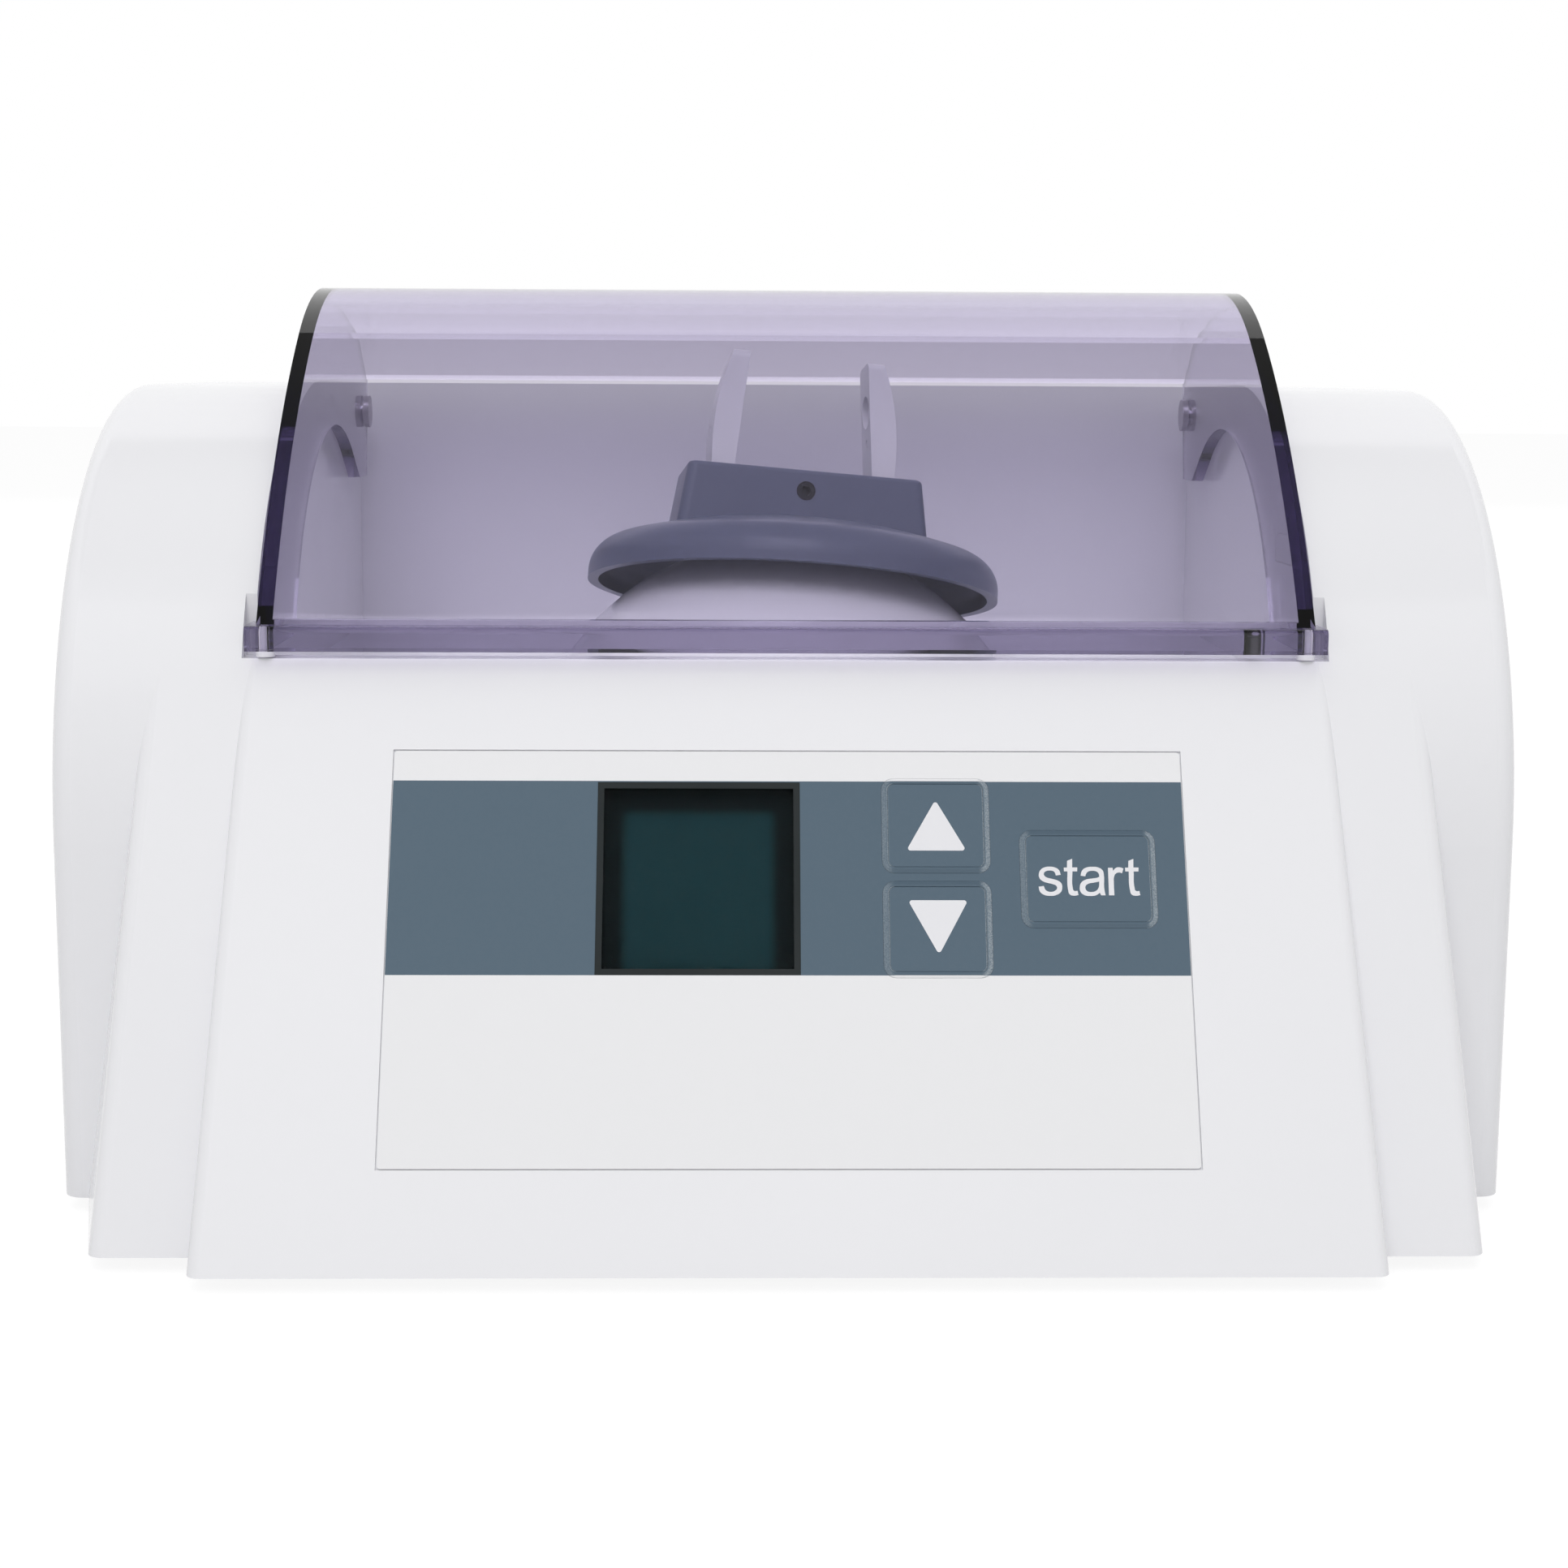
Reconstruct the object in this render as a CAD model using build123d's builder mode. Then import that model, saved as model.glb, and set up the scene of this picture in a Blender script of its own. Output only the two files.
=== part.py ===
from build123d import *
import os
from math import acos, asin, atan2, cos, degrees, hypot, pi, radians, sin, sqrt, tan

# Dental amalgamator: a table-top capsule mixer. Millimetres, +X to the right, +Y to the back, +Z up.
# The origin lies on the table, below the middle of the housing.

# ---------------------------------------------------------------- overall sizes
width = 270.0
depth = 220.0
foot_height = 3.0
wall = 2.5
fit = 0.25                # gap round a piece that sits in a pocket
running = 0.04            # radial clearance of a turning fit
press = 0.02              # radial clearance of a pressed fit
slip = 0.3                # gap between neighbours that must not touch
over = 1.0                # how far a cut runs past the face it opens

flank = width / 2
front = -depth / 2
rear = depth / 2
base = foot_height

# ---------------------------------------------------------------- wobble centre
wobble_setback = 118.0    # behind the panel's foot
wobble_height = 63.0      # above the housing's lower rim
lean = radians(12.5)
skew_angle = 9.0
rest_phase = 56.0

wobble_y = front + wobble_setback
wobble_z = base + wobble_height

# ---------------------------------------------------------------- housing outline
shell_setback = 45.0      # straight front wall of the rounded shell, behind the panel's foot
shell_rise = 86.6         # flat top above the wobble centre
barrel_radius = 82.7
rear_radius = 14.0
shell_rounding = 4.0

wing_tilt = 22.3          # degrees from vertical, where the wing's face touches the barrel
wing_inset = 12.9         # wing's foot inward of the shell's side
wing_flare = 0.232        # outward run of the wing's side per mm towards the back
wing_draw = 0.143         # inward run of the wing's side per mm of height
wing_rounding = 3.0

panel_tilt = 27.4
panel_height = 100.5
panel_inset = 31.6        # panel's foot inward of the shell's side
panel_draw = 0.033
panel_rounding = 2.5

wing_half_width = flank - wing_inset
panel_half_width = flank - panel_inset
barrel_y = front + shell_setback + barrel_radius
shell_top = wobble_z + shell_rise
barrel_z = shell_top - barrel_radius
ledge_z = base + panel_height
tilt = radians(panel_tilt)

# ---------------------------------------------------------------- mixing chamber
chamber_inset = 5.2       # chamber's side wall inward of the panel's foot
chamber_setback = 58.0    # behind the panel's foot
rear_land = 18.0          # housing's flat top behind the chamber
floor_rise = 29.5         # chamber's floor above the wobble centre
floor_rounding = 3.0
notch_side = 2.1          # ledge's notch past the chamber's side wall
dome_radius = 54.5
slot_margin = 1.5         # round the fork's stem in the dome's slot

chamber_half_width = panel_half_width - chamber_inset
chamber_front = front + chamber_setback
chamber_back = rear - rear_land
chamber_floor = wobble_z + floor_rise
notch_half_width = chamber_half_width + notch_side

# ---------------------------------------------------------------- capsule holder
cap_dip = 10.0            # cap's rim below the dome's radius, along the stem
cap_height = 14.3
cap_rim_radius = 43.3
cap_crown_radius = 130.0
cap_corner = 7.0
cap_wall = 2.2
block_rise = 10.0         # block's top above the cap's crown
block_root = 8.8          # block's root below the cap's crown
block_half_width = 24.8
block_front = -10.0
block_depth = 19.0
block_draft = 8.0
prong_gap = 29.5          # between the prongs where they leave the block
prong_lean = 5.0
prong_angle = 6.0         # how far a prong springs open
prong_thickness = 4.2
prong_depth = 9.5
prong_length = 24.7       # above the block's top
prong_pin_drop = 6.8      # pin below the block's top
prong_pin_radius = 1.5
pocket_gap = 0.2          # prong's pocket above the cap's crown
clamp_screw_radius = 2.0
clamp_screw_drop = 4.5
stem_drop = 2.3           # stem's end below the block's top

# Heights along the stem, from the wobble centre.
cap_rim_z = dome_radius - cap_dip
cap_crown_z = cap_rim_z + cap_height
block_low = cap_crown_z - block_root
block_top = cap_crown_z + block_rise
pocket_floor = cap_crown_z + pocket_gap
prong_pin_z = block_top - prong_pin_drop
clamp_screw_z = block_top - clamp_screw_drop
stem_top = block_top - stem_drop
prong_top = block_top + prong_length

# ---------------------------------------------------------------- cover
cover_gap = 0.8           # between the cover's ends and the chamber's side walls
cover_thickness = 3.0
cheek_thickness = 2.6
cover_headroom = 13.5     # cover's top above the prongs' length
crown_radius = 72.0
crown_run = 47.0          # crown's centre ahead of the cover's rear edge
cover_rear_gap = 10.0
sweep_radius = 179.0      # long front arc of the cover
lip_overhang = 0.8        # lip past the chamber's side wall
lip_reach = 10.5          # lip's front ahead of the chamber
lip_step = 0.88           # cover's face behind the lip's front
lip_lift = 1.7            # lip above the ledge
lip_thickness = 4.6
lip_rounding = 1.2
hinge_setback = 18.0      # hinge ahead of the chamber's back wall
hinge_drop = 6.6          # hinge below the housing's top
hinge_radius = 2.2
hinge_boss_radius = 5.0
hinge_boss_length = 6.0
hinge_bore_end = 0.5      # bottom left in the boss
tail_drop = 14.7          # tail of the end wall below the hinge
tail_width = 12.0

cover_half_width = chamber_half_width - cover_gap
lip_half_width = chamber_half_width + lip_overhang
lip_front = chamber_front - lip_reach
lip_bottom = ledge_z + lip_lift
cover_rear_y = chamber_back - cover_rear_gap
crown_y = cover_rear_y - crown_run
crown_z = wobble_z + prong_top + cover_headroom - crown_radius
hinge_y = chamber_back - hinge_setback
hinge_z = shell_top - hinge_drop
tail_z = hinge_z - tail_drop

# ---------------------------------------------------------------- interlock sensor
sensor_setback = 18.0     # behind the chamber's front
sensor_rise = 18.5        # above the ledge
sensor_length = 18.0
sensor_height = 5.2

# ---------------------------------------------------------------- keypad
foil_width = 143.0
foil_height = 76.5
foil_bottom = 18.8        # up the slope, from the panel's foot
foil_thickness = 0.5
window_inset = 37.0       # window's left edge from the foil's left edge
window_width = 36.6
band_drop = 42.0          # band's lower edge below the foil's top
band_height = 36.1
key_travel = 0.4
key_rise = 0.3
key_rounding = 1.2
key_edge = 0.22
arrow_key_width = 17.4
arrow_key_height = 15.8
arrow_key_drop = 14.1     # up key's middle below the foil's top
arrow_key_pitch = 19.4
start_key_width = 22.4
start_key_height = 16.2
start_key_inset = 17.6    # start key's middle from the foil's right edge
start_key_drop = 24.1
key_column_pitch = 27.3   # from the arrow keys to the start key
board_gap = 14.0          # board face behind the panel's face
board_thickness = 1.6
board_margin = 2.5        # foil beyond the control board's side
post_inset = 6.0
post_radius = 3.0
switch_size = 7.0
switch_height = 4.3
plunger_radius = 1.6

foil_top = foil_bottom + foil_height
foil_v = foil_bottom + foil_height / 2
band_bottom = foil_top - band_drop
band_v = band_bottom + band_height / 2
window_u = -foil_width / 2 + window_inset + window_width / 2
start_key_u = foil_width / 2 - start_key_inset
start_key_v = foil_top - start_key_drop
arrow_key_u = start_key_u - key_column_pitch
up_key_v = foil_top - arrow_key_drop
down_key_v = up_key_v - arrow_key_pitch
board_width = foil_width - 2 * board_margin
board_height = foil_height - board_margin

# ---------------------------------------------------------------- drive
shaft_radius = 4.0
hub_radius = 10.0
ring_radius = 17.0
ring_width = 14.0
shoulder = 2.0
bushing_wall = 2.5
stem_radius = 5.0
tail_radius = 2.5
tail_length = 34.0
upright_gap = 21.0        # inner face of the frame's uprights, from the middle
upright_thickness = 6.0
upright_half = 22.0
motor_radius = 24.0
motor_length = 56.0
frame_clearance = 15.0    # underside of the frame's slab above the housing's rim
frame_slab_thickness = 4.0
mount_height = 6.0
mount_radius = 6.0
mount_spread = 24.0       # of the mounts, front and back of the wobble centre
mount_clear = 4.0         # mounts beyond the left upright and the motor's end
mount_margin = 8.0        # slab past its mounts, to the sides
bolt_radius = 2.0

upright_face = upright_gap + upright_thickness
frame_slab_z = base + frame_clearance
slab_top = frame_slab_z + frame_slab_thickness
mount_x = (-upright_face - mount_clear, upright_face + motor_length + mount_clear)
slab_left = mount_x[0] - mount_margin
slab_right = mount_x[1] + mount_margin

# ---------------------------------------------------------------- underside
plate_thickness = 3.0
foot_radius = 8.0
foot_peg_radius = 2.5
front_foot_inset = 50.0   # from the shell's side
rear_foot_inset = 27.0
front_foot_setback = 42.0
rear_foot_setback = 30.0
boss_radius = 4.5
corner_boss_inset = 13.0
corner_boss_setback = 60.0
rear_boss_inset = 14.0
front_boss_inset = 33.4   # inward of the panel's foot corner
front_boss_setback = 16.0
screw_radius = 1.5
screw_head_radius = 2.8
screw_head_height = 1.6
small_screw_radius = 1.25
small_head_radius = 2.5
small_head_height = 1.8

boss_foot = base + plate_thickness
mount_foot = frame_slab_z - mount_height

# ---------------------------------------------------------------- power board
power_board_rise = 8.0    # underside above the housing's rim
power_board_inset = 9.0   # board's edge from the shell's side
power_board_clear = 11.0  # board's edge from the drive frame
power_board_land = 43.0   # rear edge from the housing's rear
boss_clear = 2.5          # front edge behind the corner boss
standoff_inset = 4.0

board_z = base + power_board_rise
board_top = board_z + board_thickness
board_left = -flank + power_board_inset
board_right = slab_left - power_board_clear
board_front = front + corner_boss_setback + boss_radius + boss_clear
board_rear = rear - power_board_land

# ---------------------------------------------------------------- mains inlet and switch
inlet_inset = 43.0        # from the shell's side
inlet_height_above = 32.0
inlet_width = 27.0
inlet_height = 19.5
drawer_height = 9.0
rocker_pitch = 34.0       # from the inlet to the switch
rocker_width = 12.0
rocker_height = 19.0
rocker_angle = 16.0
rocker_rim = 1.0
flange_gap = 0.02         # between a clip-in flange and the wall's inner face
flange_thickness = 2.0

inlet_x = -flank + inlet_inset
inlet_z = base + inlet_height_above
rocker_x = inlet_x + rocker_pitch

os.makedirs("parts", exist_ok=True)


def save(part, name):
    """Label a finished piece and write it."""
    part.label = name
    export_step(part, f"parts/{name}.step")


# The panel's plane: X across, Y up the slope, Z outward.
panel = Plane(origin=(0, front, base), x_dir=(1, 0, 0), z_dir=(0, -cos(tilt), sin(tilt)))

# The fork's plane at rest: X along the skewed journal, Z along the stem.
wobble_centre = Vector(0, wobble_y, wobble_z)
phase = radians(rest_phase)
nutation = Axis((0, 0, 0), (0, cos(phase), sin(phase)))
arm = Plane(
    origin=wobble_centre,
    x_dir=Vector(1, 0, 0).rotate(nutation, skew_angle),
    z_dir=Vector(0, sin(lean), cos(lean)).rotate(nutation, skew_angle),
)
# The same plane without the skew, which the fork swings about.
middle = Plane(origin=wobble_centre, x_dir=(1, 0, 0), z_dir=(0, sin(lean), cos(lean)))
shaft_plane = Plane(origin=wobble_centre, x_dir=(0, 1, 0), z_dir=(1, 0, 0))


def across(plane, y):
    """Plane facing a plane's own front (-Y), at y, with X kept and Y pointing along its Z."""
    origin = plane.origin + plane.y_dir * y
    return Plane(origin=origin, x_dir=plane.x_dir, z_dir=-plane.y_dir)


def along(plane, x):
    """Plane facing a plane's own X, at x, with X along its Y and Y along its Z."""
    return Plane(origin=plane.origin + plane.x_dir * x, x_dir=plane.y_dir, z_dir=plane.x_dir)


# ================================================================ housing
def wedge_form(tilt_deg, foot_y, half_width, flare, draw, top_z, inset, low, rounding):
    """A front wedge: a leaning face with two slanted sides, moved inward by inset."""
    run = tan(radians(tilt_deg))
    shift = foot_y + inset / cos(radians(tilt_deg))
    with BuildPart() as wedge:
        with BuildSketch(Plane.YZ.offset(inset - width / 2)):
            with BuildLine():
                Polyline(
                    (shift + (low - base) * run, low),
                    (shift + (top_z - base) * run, top_z),
                    (barrel_y, top_z),
                    (barrel_y, low),
                    close=True,
                )
            make_face()
        extrude(amount=width - 2 * inset)
        for side in (1, -1):
            outward = Vector(side, -flare, draw).normalized()
            at = Vector(side * half_width, foot_y, base) - outward * inset
            split(bisect_by=Plane(origin=at, z_dir=outward), keep=Keep.BOTTOM)
        if rounding > 0:
            face = wedge.faces().sort_by(Axis.Y)[0]
            fillet(face.edges().filter_by(Axis.X, reverse=True), radius=rounding)
    return wedge.part


def body_form(inset, skirt=0.0, rounded=False):
    """The housing's outer form moved inward by inset, and carried below its rim by skirt."""
    low = base - skirt
    wing_run = tan(radians(wing_tilt))
    touch_y = barrel_y - barrel_radius * cos(radians(wing_tilt))
    touch_z = barrel_z + (barrel_radius - inset) * sin(radians(wing_tilt))
    wing_foot = touch_y - (barrel_z + barrel_radius * sin(radians(wing_tilt)) - base) * wing_run
    wing = wedge_form(wing_tilt, wing_foot, wing_half_width, wing_flare, wing_draw,
                      touch_z, inset, low, wing_rounding * rounded)
    centre = wedge_form(panel_tilt, front, panel_half_width, 0.0, panel_draw,
                        ledge_z - inset, inset, low, panel_rounding * rounded)
    with BuildPart() as form:
        with BuildSketch(Plane.YZ.offset(inset - width / 2)):
            with BuildLine():
                CenterArc((barrel_y, barrel_z), barrel_radius - inset, 90, 90)
                Line((barrel_y, shell_top - inset), (rear - rear_radius, shell_top - inset))
                CenterArc((rear - rear_radius, shell_top - rear_radius), rear_radius - inset, 0, 90)
                Polyline(
                    (rear - inset, shell_top - rear_radius),
                    (rear - inset, low),
                    (front + shell_setback + inset, low),
                    (front + shell_setback + inset, barrel_z),
                )
            make_face()
        extrude(amount=width - 2 * inset)
        if rounded:
            rim = form.edges().filter_by(lambda e: e.center().Z > base + 1)
            fillet(rim.filter_by(lambda e: abs(e.center().X) > width / 2 - 1), radius=shell_rounding)
        add(wing)
        add(centre)
    return form.part


outer_form = body_form(0, rounded=True)
inner_form = body_form(wall, skirt=1.0)

# Screw bosses of the housing: outer corners and behind the panel's foot.
corner_boss_x = flank - corner_boss_inset
front_boss_x = panel_half_width - front_boss_inset
corner_boss_y = (front + corner_boss_setback, rear - rear_boss_inset)
corner_bosses = [(side * corner_boss_x, y) for side in (-1, 1) for y in corner_boss_y]
front_bosses = [(side * front_boss_x, front + front_boss_setback) for side in (-1, 1)]
housing_bosses = corner_bosses + front_bosses

with BuildPart() as boss_set:
    with BuildSketch(Plane.XY.offset(boss_foot)):
        with Locations(*housing_bosses):
            Circle(boss_radius)
    extrude(amount=shell_top)
    add(body_form(wall / 2), mode=Mode.INTERSECT)

# Posts behind the panel that carry the control board.
post_u = board_width / 2 - post_inset
post_v = board_height / 2 - post_inset
board_posts = [(side * post_u, foil_v + up * post_v) for side in (-1, 1) for up in (-1, 1)]

# Boxed-in walls of the mixing chamber, with the dome that the fork's stem comes through.
chamber_length = chamber_back - chamber_front
chamber_y = (chamber_back + chamber_front) / 2
with BuildPart() as chamber_walls:
    with BuildSketch(Plane.XY.offset(chamber_floor - wall)):
        with Locations((0, chamber_y)):
            Rectangle(2 * (chamber_half_width + wall), chamber_length + 2 * wall)
    extrude(amount=shell_top)
    add(body_form(0), mode=Mode.INTERSECT)

with BuildPart() as chamber_space:
    with BuildSketch(Plane.XY.offset(chamber_floor)):
        with Locations((0, chamber_y)):
            Rectangle(2 * chamber_half_width, chamber_length)
    extrude(amount=shell_top)
    floor_edges = chamber_space.faces().sort_by(Axis.Z)[0].edges()
    fillet(floor_edges.filter_by(Axis.X), radius=floor_rounding)
    with Locations(tuple(wobble_centre)):
        Sphere(dome_radius, mode=Mode.SUBTRACT)

# Slot in the dome: long enough for the stem's swing at the dome's height.
stem_swing = dome_radius * sin(radians(skew_angle))
slot_half = stem_swing + stem_radius + slot_margin
slot_width = 2 * (stem_radius + slot_margin)

sensor_y = chamber_front + sensor_setback
sensor_z = ledge_z + sensor_rise
sensor_corner = 1.0
pilot_depth = 14.0
post_pilot_depth = 9.0
louvre_x = 62.0
louvre_rise = 38.0
louvre_z = base + louvre_rise
louvre_pitch = 7.0
louvre_length = 64.0
louvre_width = 3.0

with BuildPart() as housing:
    add(outer_form)
    add(inner_form, mode=Mode.SUBTRACT)
    add(boss_set.part)
    add(chamber_walls.part)
    # hinge pin bosses on the outside of the chamber's side walls
    for side in (-1, 1):
        with BuildSketch(Plane.YZ.offset(side * (chamber_half_width + wall))):
            with Locations((hinge_y, hinge_z)):
                Circle(hinge_boss_radius)
        extrude(amount=side * hinge_boss_length)
    # posts for the control board
    with BuildSketch(panel.offset(-wall)):
        with Locations(*board_posts):
            Circle(post_radius)
    extrude(amount=wall - board_gap)
    add(chamber_space.part, mode=Mode.SUBTRACT)
    # ledge that the cover's lip closes on
    with BuildSketch(Plane.XY.offset(ledge_z)):
        with Locations((0, (front + chamber_front) / 2)):
            Rectangle(2 * notch_half_width, chamber_front - front + 2 * slip)
    extrude(amount=shell_top, mode=Mode.SUBTRACT)
    # hollow under the dome, and the slot for the fork's stem
    with Locations(tuple(wobble_centre)):
        Sphere(dome_radius - wall, mode=Mode.SUBTRACT)
    with BuildSketch(middle.offset(dome_radius - 4 * wall)):
        SlotOverall(2 * slot_half, slot_width)
    extrude(amount=6 * wall, mode=Mode.SUBTRACT)
    # recess of the keypad foil, the window and the key openings
    with BuildSketch(panel.offset(-foil_thickness)):
        with Locations((0, foil_v)):
            Rectangle(foil_width + 2 * fit, foil_height + 2 * fit)
    extrude(amount=foil_thickness * 4, mode=Mode.SUBTRACT)
    with BuildSketch(panel):
        with Locations((window_u, band_v)):
            Rectangle(window_width - 2 * slip, band_height - 2 * slip)
        with Locations((arrow_key_u, up_key_v), (arrow_key_u, down_key_v)):
            Rectangle(arrow_key_width + 2 * slip, arrow_key_height + 2 * slip)
        with Locations((start_key_u, start_key_v)):
            Rectangle(start_key_width + 2 * slip, start_key_height + 2 * slip)
    extrude(amount=-2 * wall, mode=Mode.SUBTRACT)
    # pilot holes of the bosses and posts
    with BuildSketch(Plane.XY.offset(boss_foot)):
        with Locations(*housing_bosses):
            Circle(screw_radius + running)
    extrude(amount=pilot_depth, mode=Mode.SUBTRACT)
    with BuildSketch(panel.offset(-board_gap)):
        with Locations(*board_posts):
            Circle(small_screw_radius + running)
    extrude(amount=post_pilot_depth, mode=Mode.SUBTRACT)
    # bores of the hinge pins
    bore_reach = chamber_half_width + wall + hinge_boss_length - hinge_bore_end
    with BuildSketch(Plane.YZ.offset(-bore_reach)):
        with Locations((hinge_y, hinge_z)):
            Circle(hinge_radius)
    extrude(amount=2 * bore_reach, mode=Mode.SUBTRACT)
    # opening of the interlock sensor in the right side wall
    with BuildSketch(Plane.YZ.offset(chamber_half_width - over)):
        with Locations((sensor_y, sensor_z)):
            RectangleRounded(sensor_length + 2 * fit, sensor_height + 2 * fit, sensor_corner)
    extrude(amount=wall + 2 * over, mode=Mode.SUBTRACT)
    # rear openings: inlet with its drawer, power switch, louvres
    with BuildSketch(Plane.XZ.offset(-rear - over)):
        with Locations((inlet_x, inlet_z)):
            Rectangle(inlet_width + 2 * fit, inlet_height + drawer_height + 2 * fit)
        with Locations((rocker_x, inlet_z)):
            Rectangle(rocker_width + 2 * (rocker_rim + fit), rocker_height + 2 * (rocker_rim + fit))
        with Locations((louvre_x, louvre_z)):
            with GridLocations(1, louvre_pitch, 1, 6):
                SlotOverall(louvre_length, louvre_width)
    extrude(amount=wall + 2 * over, mode=Mode.SUBTRACT)
save(housing.part, "upper_housing")

# ================================================================ underside
plate_form = body_form(wall + slip)
mount_points = [(x, wobble_y + side * mount_spread) for x in mount_x for side in (-1, 1)]
front_foot_x = flank - front_foot_inset
rear_foot_x = flank - rear_foot_inset
foot_places = ((front_foot_x, front + front_foot_setback), (rear_foot_x, rear - rear_foot_setback))
foot_points = [(side * x, y) for side in (-1, 1) for x, y in foot_places]
power_board_x = (board_left + board_right) / 2
power_board_y = (board_front + board_rear) / 2
standoffs = [
    (x, y)
    for x in (board_left + standoff_inset, board_right - standoff_inset)
    for y in (board_front + standoff_inset, board_rear - standoff_inset)
]
pedestal_margin = 1.0
head_sink = 0.2           # screw heads below the plate's face
vent_x = 54.0
vent_pitch = 8.0
vent_length = 36.0
vent_width = 3.0

with BuildPart() as base_plate:
    with BuildSketch(Plane.XY.offset(base)):
        Rectangle(width, depth)
    extrude(amount=plate_thickness)
    add(plate_form, mode=Mode.INTERSECT)
    with BuildSketch(Plane.XY.offset(boss_foot)):
        with Locations(*mount_points):
            Circle(mount_radius + pedestal_margin)
    extrude(amount=mount_foot - boss_foot)
    with BuildSketch(Plane.XY.offset(boss_foot)):
        with Locations(*standoffs):
            Circle(post_radius)
    extrude(amount=board_z - boss_foot)
    with BuildSketch(Plane.XY.offset(base)):
        with Locations(*housing_bosses):
            Circle(screw_radius + slip)
        with Locations(*foot_points):
            Circle(foot_peg_radius)
    extrude(amount=plate_thickness, mode=Mode.SUBTRACT)
    with BuildSketch(Plane.XY.offset(base)):
        with Locations(*housing_bosses):
            Circle(screw_head_radius + slip)
    extrude(amount=screw_head_height + head_sink, mode=Mode.SUBTRACT)
    with BuildSketch(Plane.XY.offset(boss_foot)):
        with Locations(*mount_points):
            Circle(bolt_radius + running)
        with Locations(*standoffs):
            Circle(small_screw_radius + running)
    extrude(amount=mount_foot - boss_foot, mode=Mode.SUBTRACT)
    # air slots under the motor
    with BuildSketch(Plane.XY.offset(base)):
        with Locations((vent_x, wobble_y)):
            with GridLocations(vent_pitch, 1, 6, 1):
                SlotOverall(vent_length, vent_width, rotation=90)
    extrude(amount=plate_thickness, mode=Mode.SUBTRACT)
save(base_plate.part, "base_plate")

foot_rounding = 0.8
foot_peg_gap = 0.5
with BuildPart() as feet:
    with BuildSketch():
        with Locations(*foot_points):
            Circle(foot_radius)
    extrude(amount=foot_height)
    fillet(feet.edges().group_by(Axis.Z)[0], radius=foot_rounding)
    with BuildSketch(Plane.XY.offset(foot_height)):
        with Locations(*foot_points):
            Circle(foot_peg_radius)
    extrude(amount=plate_thickness - foot_peg_gap)
save(feet.part, "feet")

drive_depth = 0.6         # of a screw head's height


def screws_at(plane, points, head_radius, head_height, shank_radius, shank_length, drive):
    """Socket-head screws: heads stand on the plane, shanks go down from it."""
    with BuildPart() as screws:
        with BuildSketch(plane):
            with Locations(*points):
                Circle(head_radius)
        extrude(amount=head_height)
        with BuildSketch(plane):
            with Locations(*points):
                Circle(shank_radius)
        extrude(amount=-shank_length)
        with BuildSketch(plane.offset(head_height)):
            with Locations(*points):
                RegularPolygon(drive, 6)
        extrude(amount=-drive_depth * head_height, mode=Mode.SUBTRACT)
    return screws.part


housing_screw_length = 13.0
housing_screw_drive = 1.4
board_screw_length = 8.0
small_screw_drive = 1.1
under = Plane(origin=(0, 0, base + screw_head_height + head_sink), x_dir=(1, 0, 0), z_dir=(0, 0, -1))
save(screws_at(under, [(x, -y) for x, y in housing_bosses], screw_head_radius, screw_head_height,
               screw_radius, housing_screw_length, housing_screw_drive), "housing_screws")

# ================================================================ keypad and display
panel_out = Axis(panel.origin, panel.z_dir)
arm_up = Axis(arm.origin, arm.z_dir)
foil_corner = 0.6
window_sink = 0.1
board_corner = 2.0
key_sizes = {
    "up_key": (arrow_key_u, up_key_v, arrow_key_width, arrow_key_height),
    "down_key": (arrow_key_u, down_key_v, arrow_key_width, arrow_key_height),
    "start_key": (start_key_u, start_key_v, start_key_width, start_key_height),
}

with BuildPart() as keypad_foil:
    with BuildSketch(panel.offset(-foil_thickness)):
        with Locations((0, foil_v)):
            RectangleRounded(foil_width, foil_height, foil_corner)
        with Locations((window_u, band_v)):
            Rectangle(window_width, band_height, mode=Mode.SUBTRACT)
        for u, v, key_width, key_height in key_sizes.values():
            with Locations((u, v)):
                RectangleRounded(key_width + 2 * fit, key_height + 2 * fit, key_rounding + fit,
                                 mode=Mode.SUBTRACT)
    extrude(amount=foil_thickness)
save(keypad_foil.part, "keypad_foil")

with BuildPart() as display_window:
    with BuildSketch(panel.offset(-foil_thickness)):
        with Locations((window_u, band_v)):
            Rectangle(window_width - 2 * running, band_height - 2 * running)
    extrude(amount=foil_thickness - window_sink)
save(display_window.part, "display_window")

display_rim = 2.0
display_face = wall + 0.2
glass_setback = 0.6
glass_thickness = 1.4
with BuildPart() as display_module:
    with BuildSketch(panel.offset(-board_gap)):
        with Locations((window_u, band_v)):
            Rectangle(window_width + 2 * display_rim, band_height + 2 * display_rim)
    extrude(amount=board_gap - display_face)
    with BuildSketch(panel.offset(-display_face)):
        with Locations((window_u, band_v)):
            Rectangle(window_width, band_height)
    extrude(amount=-(glass_setback + glass_thickness), mode=Mode.SUBTRACT)
save(display_module.part, "display_module")

with BuildPart() as lcd_glass:
    with BuildSketch(panel.offset(-display_face - glass_setback - glass_thickness)):
        with Locations((window_u, band_v)):
            Rectangle(window_width - 2 * running, band_height - 2 * running)
    extrude(amount=glass_thickness)
save(lcd_glass.part, "lcd_glass")

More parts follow.
